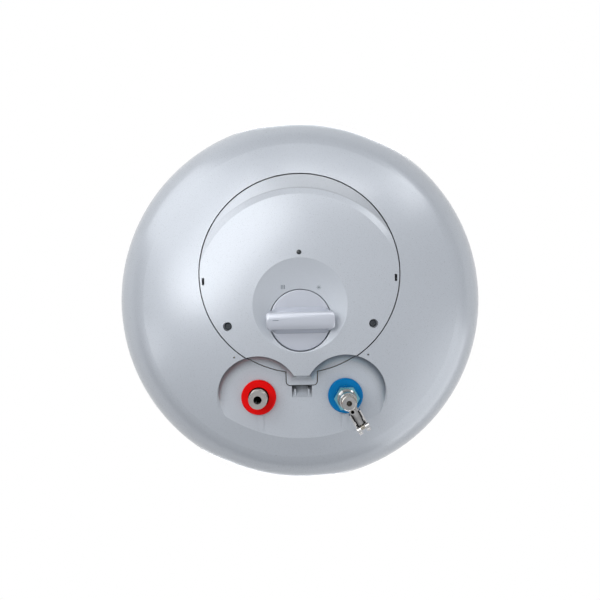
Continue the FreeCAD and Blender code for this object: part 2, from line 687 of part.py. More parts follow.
# Service cover: creased dome with a dish and cup for the knob, scalloped skirt and hood
def make_service_cover():
    def height(at, less):
        """Height of the crown, lifted by less, at a distance from the axis."""
        return f"(cap_crown - cap_depth) - sqrt((cap_crown - {less}) ^ 2 - ({at}) ^ 2)"

    flank = "(crease_radius + crease_width)"
    middle = turned("cover_middle", [
        ("0", "-cap_depth - 1"), ("crease_radius", "-cap_depth - 1"),
        ("crease_radius", height("crease_radius", "0")), (flank, height(flank, "crease_drop")),
        (flank, "0"), ("0", "0")])
    creased = fuse("creased_dome", common("cover_high", ball("cover_high_ball", "cap_crown", "-cap_depth"), middle),
                   ball("cover_low_ball", "cap_crown - crease_drop", "-cap_depth + crease_drop"))
    block = common("cover_block", creased, cover_outline("cover_edge", "0"))
    sphere = ball("dish_tool", "dish_sphere", "-dish_rim_drop + dish_depth - dish_sphere * 2", "dish_back")
    sphere_out = ball("dish_wall_tool", "dish_sphere + cover_wall",
                      "-dish_rim_drop + dish_depth - dish_sphere * 2 - cover_wall", "dish_back")
    inner = "(cover_wall + crease_drop / 2)"
    inset = common("cover_inset", cover_outline("cover_inner_edge", "-cover_wall"),
                   ball("cover_inner_ball", f"cap_crown - {inner}", f"-cap_depth + {inner}"))
    cavity = cut("cover_cavity", inset, recess("skirt_wall", "cover_wall", "skirt_floor"), sphere_out)
    front = common("rim_limit_front", ball("rim_limit_ball", "cap_crown - cover_seat", "-cap_depth + cover_seat"),
                   box("rim_front_half", "-body_radius", "body_radius", "-body_radius", "ledge_end",
                       "-cap_depth", "0"))
    rear = box("rim_limit_rear", "-body_radius", "body_radius", "ledge_end", "body_radius",
               "-recess_floor - fit_gap", "1")
    shell = cut("cover_shell", block, cavity, front, rear)
    bosses = [cylinder("knob_cup", "knob_well + cover_wall", "-dish_rim_drop + cover_wall * 0.8",
                       "-cup_floor + cover_wall", y="knob_back"),
              cylinder("lamp_boss", "lamp_body_radius + cover_wall * 0.8", "lens_tip + cover_wall * 1.2",
                       "lens_back + holder_length / 2",
                       y="-lamp_front")]
    bores = [sphere, recess("skirt_tool", "0", "skirt_floor"),
             cylinder("knob_bore", "knob_well", "-cap_depth - 1", "-cup_floor", y="knob_back"),
             cylinder("hub_hole", "hub_radius * 1.15", "-cap_depth", "0", y="knob_back"),
             cylinder("lamp_hole", "lamp_radius", "-cap_depth - 1", "0", y="-lamp_front"),
             cylinder("lamp_bore", "lamp_body_radius", "lens_seat", "0", y="-lamp_front")]
    for side in (-1, 1):
        x = f"{side} * well_side"
        bosses.append(cylinder(f"well_tube_{side + 1}", "well_radius + cover_wall * 0.8", "-cap_depth * 0.87",
                               "-recess_floor - cover_wall * 0.8", x=x, y="well_back"))
        bores.append(cylinder(f"well_bore_{side + 1}", "well_radius", "-cap_depth",
                              "-recess_floor - well_floor", x=x, y="well_back"))
        bores.append(cylinder(f"well_hole_{side + 1}", "shank_radius + fit_gap", "-cap_depth", "0", x=x, y="well_back"))
        bores.append(box(f"snap_slot_{side + 1}", f"{side} * slot_side - slot_width / 2",
                         f"{side} * slot_side + slot_width / 2", "-slot_front - slot_length / 2",
                         "-slot_front + slot_length / 2", "-cap_depth", "-recess_floor + cover_wall"))
    carried = common("cover_bosses", fuse("boss_set", *bosses), cover_outline("boss_edge", "0"))
    finished(cut("cover_cut", fuse("cover_bossed", shell, carried), *bores), "service_cover")


# Insulation and inner tank: an enamelled steel vessel in a foam jacket
def tank_outline(inside):
    """Half section of the tank, moved inwards: a shell with coned heads."""
    reach = f"tank_radius - ({inside})"
    turn = f"(tank_head + ({inside}) * (sqrt(2) - 1))"
    low = f"tank_foot + ({inside})"
    high = f"tank_top - ({inside})"
    return [
        ("0", low), (f"tank_radius - {turn}", low), (reach, f"tank_foot + {turn}"),
        (reach, f"tank_top - {turn}"), (f"tank_radius - {turn}", high), ("0", high)]


def pipe_rods(name, radius, foot, head):
    """One upright cylinder round each pipe's axis."""
    return [cylinder(f"{name}_{side + 1}", radius, foot, head, x=f"{side} * pipe_side", y="pipe_back")
            for side in (-1, 1)]


def make_tank():
    solid = turned("tank_solid", tank_outline("0"))
    hollow = turned("tank_hollow", tank_outline("tank_wall"))
    neck = cylinder("tank_neck", "neck_radius", "-neck_drop", "tank_foot + tank_wall + 2")
    ring = cylinder("tank_ring", "ring_radius", "-neck_drop", "-neck_drop + ring_thickness")
    bosses = [radial_rod(f"tank_boss_{i}", "boss_radius", "tank_radius - tank_wall / 2",
                         "body_radius - casing_wall - fit_gap", *place)
              for i, place in enumerate(bolt_places())]
    threads = [radial_rod(f"boss_thread_{i}", "bolt_radius + running_gap", "tank_radius + jacket * 0.2",
                          "body_radius", *place)
               for i, place in enumerate(bolt_places())]
    vessel = cut("tank_cut", fuse("tank_whole", solid, neck, ring, *bosses), hollow,
                 cylinder("tank_mouth", "neck_radius - tank_wall", "-neck_drop - 1", "tank_foot + 10"),
                 *pipe_rods("tank_pipe_hole", "pipe_radius + running_gap", "-neck_drop", "tank_top / 2"), *threads)
    finished(vessel, "inner_tank")
    foam = turned("foam_solid", [
        ("0", "-lip_root"), ("lip_out - lip_wall - fit_gap", "-lip_root"),
        ("lip_out - lip_wall - fit_gap", "lip_height + 1"), ("lip_out", "lip_height + 1"),
        ("lip_out", "casing_height - lip_height - 1"),
        ("lip_out - lip_wall - fit_gap", "casing_height - lip_height - 1"),
        ("lip_out - lip_wall - fit_gap", "casing_height"), ("0", "casing_height")])
    core = turned("foam_core", tank_outline("-fit_gap"))
    openings = [radial_rod(f"foam_boss_{i}", "boss_radius + fit_gap", "tank_radius - tank_wall", "body_radius", *place)
                for i, place in enumerate(bolt_places())]
    finished(cut("foam_cut", foam, core,
                 cylinder("foam_neck", "ring_radius + 8", "-9", "tank_foot + tank_head"),
                 *pipe_rods("foam_pipe", "spigot_radius + 2", "-9", "tank_foot + tank_head"), *openings),
             "foam_insulation")


# Flange: gasket, plate with its studs and nuts, and what the plate carries
def stud_places():
    count = int(number("stud_count"))
    for index in range(count):
        angle = 2 * math.pi * (index + 0.5) / count
        yield f"stud_circle * {math.cos(angle):.6f}", f"stud_circle * {math.sin(angle):.6f}"


def make_flange():
    gasket = raised("gasket_pad", "gasket_thickness", foot="-neck_drop - gasket_thickness", circles=[
        ("0", "0", "neck_radius"), ("0", "0", "neck_radius - tank_wall - 4")])
    finished(gasket, "flange_gasket")
    top = "-neck_drop - gasket_thickness"
    plate = raised("plate_pad", "plate_thickness", foot="-plate_face", circles=[
        ("0", "0", "ring_radius"),
        ("-element_side", "-element_front", "element_radius + running_gap"),
        ("element_side", "-element_front", "element_radius + running_gap"),
        ("0", "knob_back", "sheath_radius + running_gap"),
        ("-anode_side", "anode_back", "anode_stud + running_gap")])
    hole = new_sketch(plate, "stud_hole_outline", "XY_Plane", top)
    first = list(stud_places())[0]
    draw_circle(hole, first[0], first[1], "stud_radius + 0.5")
    pocket = plate.newObject("PartDesign::Pocket", "stud_hole")
    pocket.Profile = hole
    pocket.setExpression("Length", rule("plate_thickness * 2"))
    ring = plate.newObject("PartDesign::PolarPattern", "stud_holes")
    ring.Originals = [pocket]
    ring.Axis = (hole, ["N_Axis"])
    ring.Angle = 360
    ring.setExpression("Occurrences", rule("stud_count"))
    plate.Tip = ring
    finished(plate, "flange_plate")
    studs = [cylinder(f"stud_{i}", "stud_radius", "-neck_drop - stud_length", "-neck_drop", x, y)
             for i, (x, y) in enumerate(stud_places())]
    finished(group("stud_group", studs), "flange_studs")
    nuts = []
    for i, (x, y) in enumerate(stud_places()):
        bore = cylinder(f"nut_bore_{i}", "stud_radius + running_gap", "-plate_face - nut_height - 1",
                        "-plate_face + 1", x, y)
        nuts.append(cut(f"nut_{i}", hexagon(f"nut_body_{i}", "nut_flats", "-plate_face - nut_height",
                                            "-plate_face", x, y), bore))
    finished(group("nut_group", nuts), "flange_nuts")


def make_element():
    """Hairpin tube with its two cold ends through the plate, and a pin in each."""
    body = doc.addObject("PartDesign::Body", "element_body")
    path = new_sketch(body, "element_path", "XZ_Plane", "element_front")
    high = "element_height - element_side"
    foot = "-plate_face - element_stub"
    draw_outline(path, [
        ("-element_side", foot), ("-element_side", high, "element_side", "right"),
        ("0", "element_height", "element_side", "right"), ("element_side", high),
        ("element_side", foot)], closed=False)
    ring = new_sketch(body, "element_ring", "XY_Plane", foot)
    draw_circle(ring, "-element_side", "-element_front", "element_radius")
    pipe = body.newObject("PartDesign::AdditivePipe", "element_pipe")
    pipe.Profile = ring
    pipe.Spine = (path, [])
    pins = new_sketch(body, "element_pins", "XY_Plane", f"{foot} - pin_length")
    draw_circle(pins, "-element_side", "-element_front", "element_radius / 2")
    draw_circle(pins, "element_side", "-element_front", "element_radius / 2")
    pad = body.newObject("PartDesign::Pad", "element_pins_pad")
    pad.Profile = pins
    pad.setExpression("Length", rule("pin_length * 1.25"))
    body.Tip = pad
    finished(body, "heating_element")


def make_plate_parts():
    rise = "-neck_drop + 4"
    rod_body = turned("anode_turning", [
        ("0", "-plate_face - anode_tail"), ("anode_stud", "-plate_face - anode_tail"), ("anode_stud", rise),
        ("anode_radius", rise), ("anode_radius", "anode_height"), ("0", "anode_height")])
    finished(rod_body, "anode_rod", "-anode_side", "anode_back")
    nut = cut("anode_nut_cut", hexagon("anode_nut_body", "anode_nut_flats", "-plate_face - anode_nut_height", "-plate_face"),
              cylinder("anode_nut_bore", "anode_stud + running_gap", "-plate_face - anode_nut_height - 1", "-plate_face + 1"))
    finished(nut, "anode_nut", "-anode_side", "anode_back")
    sheath = turned("sheath_turning", [
        ("sheath_bore", "-plate_face"), ("sheath_radius", "-plate_face"),
        ("sheath_radius", "sheath_height - sheath_radius", "sheath_radius", "left"),
        ("0", "sheath_height"), ("0", "sheath_height - 1.5"),
        ("sheath_bore", "sheath_height - sheath_radius")])
    finished(sheath, "thermostat_sheath", "0", "knob_back")


# Controls under the cover
def make_controls():
    wide, deep, tall = "thermostat_wide / 2", "thermostat_deep / 2", "thermostat_tall"
    under = "-plate_face - fit_gap"
    bulb_end = "sheath_height - sheath_radius - 20"
    case = raised("thermostat_case", tall, [oblong(f"-{wide}", wide, f"-{deep}", deep)],
                  foot=f"{under} - {tall}")
    doc.recompute()
    pad = case.Tip
    rounded = case.newObject("PartDesign::Fillet", "thermostat_round")
    rounded.Base = (pad, upright_edges(pad.Shape))
    rounded.Radius = 3
    case.Tip = rounded
    tabs = [box(f"thermostat_tab_{x}_{y}".replace("-", "m"), f"{x} * spade_side - spade_width / 2",
                f"{x} * spade_side + spade_width / 2", f"{y} * spade_back - spade_thickness / 2",
                f"{y} * spade_back + spade_thickness / 2", f"{under} - {tall} - tab_drop",
                f"{under} - {tall} + 1") for x in (-1, 1) for y in (-1, 1)]
    bore = cylinder("spindle_bore", "spindle_radius + running_gap", f"{under} - {tall} - 1", f"{under} - 6")
    finished(cut("thermostat_cut", fuse("thermostat_tabbed", case, *tabs), bore),
             "thermostat_body", "0", "knob_back")
    bulb = raised("bulb_rod", f"{bulb_end} - ({under})", foot=under,
                  circles=[("0", "0", "sheath_bore - fit_gap")])
    finished(bulb, "thermostat_bulb", "0", "knob_back")
    shaft = cylinder("spindle_rod", "spindle_radius", "-knob_rear - 4", f"{under} - 7")
    flat = box("spindle_flat_tool", "spindle_radius * 0.6", "spindle_radius * 2", "-spindle_radius",
               "spindle_radius", "-knob_rear - 5", "-cup_floor + cover_wall + 1")
    finished(cut("spindle_cut", shaft, flat), "thermostat_spindle", "0", "knob_back")
    half_wide, half_deep = "cutout_wide / 2", "cutout_deep / 2"
    case = raised("cutout_case", "cutout_tall", foot=f"{under} - cutout_tall", outlines=[
        oblong(f"-{half_wide}", half_wide, f"-{half_deep}", half_deep)])
    well = cylinder("reset_well", "reset_radius + running_gap", f"{under} - cutout_tall - 1",
                    f"{under} - cutout_tall + reset_length / 2 + reset_travel + 0.5")
    finished(cut("cutout_cut", case, well), "thermal_cutout", "cutout_side", "knob_back")
    button = raised("reset_rod", "reset_length", foot=f"{under} - cutout_tall - reset_length / 2",
                    circles=[("0", "0", "reset_radius")])
    finished(button, "reset_button", "cutout_side", "knob_back")
    half = "block_wide / 2"
    block = raised("block_case", "block_tall", foot=f"{under} - block_tall", outlines=[
        oblong(f"-{half}", half, "-block_deep / 2", "block_deep / 2")])
    wells, screws = [], []
    for i in (-1, 0, 1):
        x = f"{i} * block_wide * 0.3"
        wells.append(cylinder(f"block_well_{i + 1}", "block_well", f"{under} - block_tall - 1",
                              f"{under} - block_tall + block_well_depth", x))
        wells.append(box(f"block_entry_{i + 1}", f"{x} - lead_radius * 2", f"{x} + lead_radius * 2", "0",
                         "block_deep", f"{under} - lead_rise - lead_radius * 2",
                         f"{under} - lead_rise + lead_radius * 2"))
        screws.append(cylinder(f"block_screw_{i + 1}", "block_screw",
                               f"{under} - block_tall + block_well_depth - block_screw_tall - running_gap * 2",
                               f"{under} - block_tall + block_well_depth - running_gap * 2", x))
    finished(cut("block_cut", block, *wells), "terminal_block", "0", "-block_front")
    finished(group("block_screws", screws), "terminal_screws", "0", "-block_front")


def upright_edges(shape):
    """Names of a shape's vertical straight edges."""
    names = []
    for index, line in enumerate(shape.Edges, start=1):
        bounds = line.BoundBox
        if bounds.ZLength > 1e-3 and bounds.XLength < 1e-6 and bounds.YLength < 1e-6:
            names.append(f"Edge{index}")
    return names


# Knob: disc with a flared grip bar, turning in the cover's cup
def make_knob():
    knob = turned("knob_turning", [
        ("0", "-knob_face"), ("knob_radius - 0.8", "-knob_face"),
        ("knob_radius", "-knob_face + 0.8"), ("knob_radius", "-knob_rear"),
        ("hub_radius", "-knob_rear"), ("hub_radius", "-knob_rear + hub_length"),
        ("0", "-knob_rear + hub_length")])
    bottom = new_sketch(knob, "grip_root", "XY_Plane", "-knob_face")
    draw_outline(bottom, bevelled_oblong("grip_root_length / 2", "grip_root_width / 2", "grip_round"))
    crest = new_sketch(knob, "grip_crest", "XY_Plane", "-knob_face - grip_height")
    draw_outline(crest, bevelled_oblong("grip_length / 2", "grip_width / 2", "grip_round"))
    loft = knob.newObject("PartDesign::AdditiveLoft", "grip_loft")
    loft.Profile = bottom
    loft.Sections = [crest]
    doc.recompute()
    top = number("-knob_face - grip_height")
    picked = [f"Edge{i}" for i, line in enumerate(loft.Shape.Edges, start=1)
              if abs(line.BoundBox.ZMax - top) < 1e-6]
    soft = knob.newObject("PartDesign::Chamfer", "grip_soft")
    soft.Base = (loft, picked)
    soft.setExpression("Size", rule("grip_round * 0.4"))
    mark = new_sketch(knob, "grip_mark_outline", "XY_Plane", "-knob_face - grip_height - mark_depth")
    draw_outline(mark, oblong("-grip_length / 2 + mark_start", "-grip_length / 2 + mark_start + mark_length",
                              "-mark_depth", "mark_depth"))
    groove = knob.newObject("PartDesign::Pocket", "grip_mark")
    groove.Profile = mark
    groove.setExpression("Length", rule("mark_depth * 2"))
    groove.Reversed = True
    bore = new_sketch(knob, "hub_bore_outline", "XY_Plane", "-knob_rear + hub_length")
    draw_circle(bore, "0", "0", "spindle_radius + fit_gap / 10")
    hole = knob.newObject("PartDesign::Pocket", "hub_bore")
    hole.Profile = bore
    hole.setExpression("Length", rule("hub_length + 4.1"))
    knob.Tip = hole
    finished(knob, "thermostat_knob", "0", "knob_back")


def bevelled_oblong(half_long, half_wide, turn):
    """Oblong about the origin with its corners cut off in two steps."""
    near, far = f"{turn} * 0.29", f"{turn}"
    corner = [(far, "0"), (near, near), ("0", far)]
    points = []
    for side_x, side_y in ((1, -1), (1, 1), (-1, 1), (-1, -1)):
        order = corner if side_x * side_y < 0 else corner[::-1]
        for back, down in order:
            points.append((f"{side_x} * ({half_long} - {back})", f"{side_y} * ({half_wide} - {down})"))
    return points


def make_cover_parts():
    screws = []
    seat = "-recess_floor - well_floor"
    for side in (-1, 1):
        head = cylinder(f"screw_head_{side + 1}", "screw_head_radius", f"{seat} - screw_head", seat,
                        f"{side} * well_side", "well_back")
        shank = cylinder(f"screw_shank_{side + 1}", "shank_radius", f"{seat} - screw_head / 2", "-recess_floor + screw_reach",
                         f"{side} * well_side", "well_back")
        screws.append(fuse(f"cover_screw_{side + 1}", head, shank))
    finished(group("cover_screw_group", screws), "cover_screws")
    lens = turned("lens_turning", [
        ("0", "lens_tip"), ("lamp_radius - 0.7", "lens_tip + 0.4"),
        ("lamp_radius - running_gap", "lens_tip + 1.4"),
        ("lamp_radius - running_gap", "lens_seat + fit_gap"),
        ("lamp_body_radius - fit_gap", "lens_seat + fit_gap"),
        ("lamp_body_radius - fit_gap", "lens_back"), ("0", "lens_back")])
    finished(lens, "lamp_lens", "0", "-lamp_front")
    holder = raised("lamp_holder_body", "holder_length", foot="lens_back",
                    circles=[("0", "0", "lamp_body_radius - fit_gap")])
    finished(holder, "lamp_holder", "0", "-lamp_front")


# Pipes: spigots welded into the tank, their liners, collars and inner tubes
def make_pipes():
    for name, side in (("hot", -1), ("cold", 1)):
        x, y = f"{side} * pipe_side", "pipe_back"
        spigot = turned(f"{name}_spigot_turning", [
            ("spigot_bore", "-spigot_drop"), ("spigot_radius", "-spigot_drop"),
            ("spigot_radius", "-spigot_drop + thread_length"), ("pipe_radius", "-spigot_drop + thread_length"),
            ("pipe_radius", "tank_foot + pipe_entry"), ("spigot_bore", "tank_foot + pipe_entry")])
        finished(spigot, f"{name}_spigot", x, y)
        liner = turned(f"{name}_liner_turning", [
            ("liner_bore", "-spigot_drop - liner_lip"), ("liner_rim", "-spigot_drop - liner_lip"),
            ("liner_rim", "-spigot_drop"), ("spigot_bore - running_gap", "-spigot_drop"),
            ("spigot_bore - running_gap", "-spigot_drop + liner_length"),
            ("liner_bore", "-spigot_drop + liner_length")])
        finished(liner, f"{name}_liner", x, y)
        collar = turned(f"{name}_collar_turning", [
            ("collar_bore", "-recess_floor - collar_thickness"),
            ("collar_radius - collar_edge", "-recess_floor - collar_thickness"),
            ("collar_radius", "-recess_floor - collar_thickness + collar_edge"),
            ("collar_radius", "-recess_floor"), ("collar_neck", "-recess_floor"),
            ("collar_neck", "-recess_floor + collar_seat"), ("collar_bore", "-recess_floor + collar_seat")])
        finished(collar, f"{name}_collar", x, y)
    tube = raised("hot_tube_pad", "tank_top - hot_tube_clear + spigot_drop - hot_tube_foot",
                  foot="-spigot_drop + hot_tube_foot",
                  circles=[("0", "0", "hot_tube_radius"), ("0", "0", "hot_tube_bore")])
    finished(tube, "hot_tube", "-pipe_side", "pipe_back")
    head = "tank_foot + pipe_entry"
    cup = raised("diffuser_cup", "diffuser_tall", foot=f"{head} - diffuser_grip",
                 circles=[("0", "0", "pipe_radius + diffuser_wall")])
    room = cylinder("diffuser_room", "pipe_radius + running_gap", f"{head} - diffuser_grip - 1",
                    f"{head} - diffuser_grip + diffuser_tall - diffuser_wall")
    side, slit = "(pipe_radius * 2)", "(diffuser_slit / 2)"
    slits = [box(f"diffuser_slit_{i}", f"-{long}", long, f"-{wide}", wide, f"{head} + {slit}",
                 f"{head} + {slit} + diffuser_open")
             for i, (long, wide) in enumerate([(side, slit), (slit, side)])]
    finished(cut("diffuser_cut", cup, room, *slits), "cold_diffuser", "pipe_side", "pipe_back")


# Safety valve, drawn about its own axis with the lever branch along +X
def make_valve():
    level = "-branch_drop"
    hexagon_part = hexagon("valve_hexagon", "hex_flats", "-hex_drop - hex_height", "-hex_drop")
    hexagon_part.setExpression("Placement.Rotation.Angle", rule("60 - branch_angle"))
    turning = turned("valve_turning", [
        ("0", "-barrel_drop - inlet_length"), ("inlet_radius - 1", "-barrel_drop - inlet_length"),
        ("inlet_radius", "-barrel_drop - inlet_length + 1"), ("inlet_radius", "-barrel_drop"),
        ("barrel_radius - 1", "-barrel_drop"), ("barrel_radius", "-barrel_drop + 1"),
        ("barrel_radius", "-hex_drop - hex_height - shoulder_height"),
        ("shoulder_radius", "-hex_drop - hex_height - shoulder_height + 1"),
        ("shoulder_radius", "-hex_drop - hex_height + 1"), ("0", "-hex_drop - hex_height + 1")])
    branch = rod("valve_branch", "branch_radius", "0", "branch_length", level)
    spout = cylinder("valve_spout", "spout_radius", "-spout_drop", level, "spout_out", "spout_side")
    tools = [
        cylinder("valve_socket", "hole_radius", "-socket_drop", "-hex_drop + 1"),
        cylinder("valve_barrel_bore", "barrel_bore", "-barrel_drop - 1", "-socket_drop + 1"),
        cylinder("valve_inlet_bore", "inlet_bore", "-barrel_drop - inlet_length - 1", "-barrel_drop"),
        rod("valve_port", "port_radius", "barrel_bore - 1", "seat_out + 1", level),
        rod("valve_chamber", "branch_bore", "seat_out", "branch_length + 1", level),
        cylinder("valve_spout_bore", "spout_bore", "-spout_drop - 1", level, "spout_out", "spout_side")]
    whole = fuse("valve_forging", hexagon_part, turning, branch, spout)
    finished(cut("valve_cut", whole, *tools), "valve_body", "pipe_side", "pipe_back", "branch_angle")

    plug = rod("bonnet_plug_rod", "branch_bore - running_gap", "branch_length - bonnet_plug",
               "branch_length + 0.5", level)
    flange = rod("bonnet_flange_rod", "branch_radius", "branch_length", "branch_length + bonnet_flange", level)
    neck = rod("bonnet_neck_rod", "bonnet_neck", "branch_length", "bonnet_out", level)
    way = rod("bonnet_way", "stem_radius + running_gap", "0", "bonnet_out + 1", level)
    room = rod("bonnet_room", "disc_radius", "branch_length - bonnet_plug - 1",
               "branch_length - bonnet_floor", level)
    finished(cut("bonnet_cut", fuse("bonnet_whole", plug, flange, neck), way, room),
             "valve_bonnet", "pipe_side", "pipe_back", "branch_angle")

    seal = cut("seal_cut", rod("seal_rod", "disc_radius", "seat_out + running_gap",
                               "seat_out + running_gap + seal_thickness", level),
               rod("seal_way", "1", "0", "branch_length", level))
    finished(seal, "relief_seal", "pipe_side", "pipe_back", "branch_angle")
    disc = rod("stem_disc", "disc_radius", "seat_out + running_gap + seal_thickness",
               "seat_out + running_gap + seal_thickness + disc_thickness", level)
    nose = rod("stem_nose", "1", "seat_out + running_gap + 0.2", "seat_out + seal_thickness + 1", level)
    shaft = rod("stem_shaft", "stem_radius", "seat_out + seal_thickness + 1", "pin_out", level)
    eye = rod("stem_eye", "eye_radius", "-eye_half", "eye_half", level, "pin_out", along="y")
    hole = rod("stem_hole", "pin_radius + running_gap", "-eye_half - 1", "eye_half + 1", level, "pin_out",
               along="y")
    finished(cut("stem_cut", fuse("stem_whole", disc, nose, shaft, eye), hole),
             "relief_stem", "pipe_side", "pipe_back", "branch_angle")

    width = "(lever_half + lever_wall)"
    web = box("lever_web", "lever_start", "pin_out + lever_tail", f"-{width}", width,
              f"{level} + branch_radius + fit_gap", f"{level} + branch_radius + fit_gap + lever_wall")
    sides = []
    for side in (-1, 1):
        low = f"{side} * (lever_half + lever_wall / 2) - lever_wall / 2"
        high = f"{side} * (lever_half + lever_wall / 2) + lever_wall / 2"
        sides.append(box(f"lever_side_{side + 1}", "lever_start", "pin_out + relief_lift / 2", low, high,
                         f"{level} - lever_skirt", f"{level} + branch_radius + fit_gap + lever_wall"))
        near = f"{side} * (eye_half + {width} + fit_gap) / 2 - ({width} - eye_half - fit_gap) / 2"
        far = f"{side} * (eye_half + {width} + fit_gap) / 2 + ({width} - eye_half - fit_gap) / 2"
        cam = rod(f"lever_cam_{side + 1}", "cam_radius", near, far, level, "pin_out + relief_lift / 2",
                  along="y")
        bind(cam, Base_z=f"{level} - relief_lift / 2")
        sides.append(cam)
    tight = rod("lever_hole", "pin_radius", f"-{width} - 1", f"{width} + 1", level, "pin_out", along="y")
    finished(cut("lever_cut", fuse("lever_whole", web, *sides), tight),
             "relief_lever", "pipe_side", "pipe_back", "branch_angle")
    pin = rod("pin_rod", "pin_radius", f"-{width} - 0.8", f"{width} + 0.8", level, "pin_out", along="y")
    heads = [rod(f"pin_head_{side + 1}", "pin_radius + 0.7", f"{side} * ({width} + 0.4) - 0.4",
                 f"{side} * ({width} + 0.4) + 0.4", level, "pin_out", along="y") for side in (-1, 1)]
    finished(fuse("pin_whole", pin, *heads), "lever_pin", "pipe_side", "pipe_back", "branch_angle")


def make_check_valve():
    seat = "poppet_seat"
    poppet = turned("poppet_turning", [
        ("0", seat), ("poppet_radius - 1", seat), ("poppet_radius", f"{seat} + 1"),
        ("poppet_radius", f"{seat} + poppet_thickness"), ("poppet_stem", f"{seat} + poppet_thickness"),
        ("poppet_stem", "-guide_drop + 0.5"), ("0", "-guide_drop + 0.5")])
    finished(poppet, "check_poppet", "pipe_side", "pipe_back")
    guide = cylinder("guide_disc", "barrel_bore - running_gap", "-guide_drop - guide_thickness", "-guide_drop")
    holes = [cylinder("guide_way", "poppet_stem + running_gap", "-guide_drop - guide_thickness - 1", "-guide_drop + 1")]
    for index in range(4):
        angle = math.pi * (index + 0.5) / 2
        holes.append(cylinder(f"guide_hole_{index}", "guide_hole", "-guide_drop - guide_thickness - 1",
                              "-guide_drop + 1", f"barrel_bore * {0.6 * math.cos(angle):.5f}",
                              f"barrel_bore * {0.6 * math.sin(angle):.5f}"))
    finished(cut("guide_cut", guide, *holes), "poppet_guide", "pipe_side", "pipe_back")


# Springs: plain sleeves, one lying in the lever branch and one upright over the poppet
def make_springs():
    level = "-branch_drop"
    near = "seat_out + running_gap + seal_thickness + disc_thickness"
    far = "branch_length - bonnet_floor"
    inner = "stem_radius + 0.5"
    relief = cut("relief_spring_cut", rod("relief_spring_out", f"{inner} + spring_wire", near, far, level),
                 rod("relief_spring_in", inner, "0", "bonnet_out", level))
    finished(relief, "relief_spring", "pipe_side", "pipe_back", "branch_angle")
    foot = "poppet_seat + poppet_thickness"
    inner = "poppet_stem + 0.6"
    check = raised("check_spring_pad", f"-guide_drop - guide_thickness - ({foot})", foot=foot, circles=[
        ("0", "0", f"{inner} + spring_wire"), ("0", "0", inner)])
    finished(check, "check_spring", "pipe_side", "pipe_back")


# Inner wiring: straight runs joined by tangent arcs, eight-sided
def lead(points):
    """Lead through points, each corner an arc of the bend radius."""
    bend = number("lead_bend")
    here = points[0]
    ahead = (points[1] - here).normalize()
    side = ahead.cross(FreeCAD.Vector(0, 0, 1))
    if side.Length < 0.1:
        side = FreeCAD.Vector(1, 0, 0)
    side = side.normalize() * number("lead_radius")
    corners = [here + FreeCAD.Rotation(ahead, 45 * i + 22.5).multVec(side) for i in range(9)]
    face = Part.Face(Part.makePolygon(corners))
    solids = []
    for before, corner, after in zip(points, points[1:], points[2:]):
        come = (corner - before).normalize()
        leave = (after - corner).normalize()
        angle = come.getAngle(leave)
        start = corner - come * (bend * math.tan(angle / 2))
        axis = come.cross(leave).normalize()
        centre = start + axis.cross(come) * bend
        solids.append(face.extrude(start - here))
        face.translate(start - here)
        solids.append(face.revolve(centre, axis, math.degrees(angle)))
        face.rotate(centre, axis, math.degrees(angle))
        here = corner + leave * (bend * math.tan(angle / 2))
    solids.append(face.extrude(points[-1] - here))
    return solids[0].fuse(solids[1:])


def wiring(name, shapes):
    """Leads drawn about the tank axis, as one piece."""
    made = doc.addObject("Part::Feature", name + "_run")
    made.Shape = shapes[0] if len(shapes) == 1 else Part.makeCompound(shapes)
    finished(made, name)


def make_leads():
    def point(x, y, z):
        return FreeCAD.Vector(number(x), number(y), number(z))

    block = "-block_front + block_deep / 2"
    high = "-plate_face - fit_gap - lead_rise"
    low = "-plate_face - fit_gap - thermostat_tall - tab_drop + lead_radius + 0.6"
    front = "knob_back - spade_back - spade_thickness / 2 - fit_gap"
    rear = "knob_back + spade_back + spade_thickness / 2 + fit_gap"
    block_x = "block_wide * 0.3"
    for name, side in (("live_lead", "-"), ("neutral_lead", "")):
        wiring(name, [lead([
            point(f"{side}{block_x}", f"{block} - 3", high), point(f"{side}{block_x}", f"{block} + 10", high),
            point(f"{side}spade_side", f"{block} + 26", low), point(f"{side}spade_side", front, low)])])
    pins = "-plate_face - element_stub - pin_length + lead_radius"
    wiring("element_leads", [lead([
        point(f"{side}spade_side", rear, low), point(f"{side}spade_side", f"{rear} + 9", low),
        point(f"{side}26", f"{rear} + 9", low), point(f"{side}element_side", f"{rear} - 6", low),
        point(f"{side}element_side", "0", pins),
        point(f"{side}element_side", "-element_front + element_radius / 2 + fit_gap / 2", pins)])
        for side in ("-", "")])
    wiring("lamp_leads", [lead([
        point("0", "-lamp_front", "lens_back + holder_length"), point("0", "-lamp_front", high),
        point("0", "-block_front - block_deep / 2", high)])])


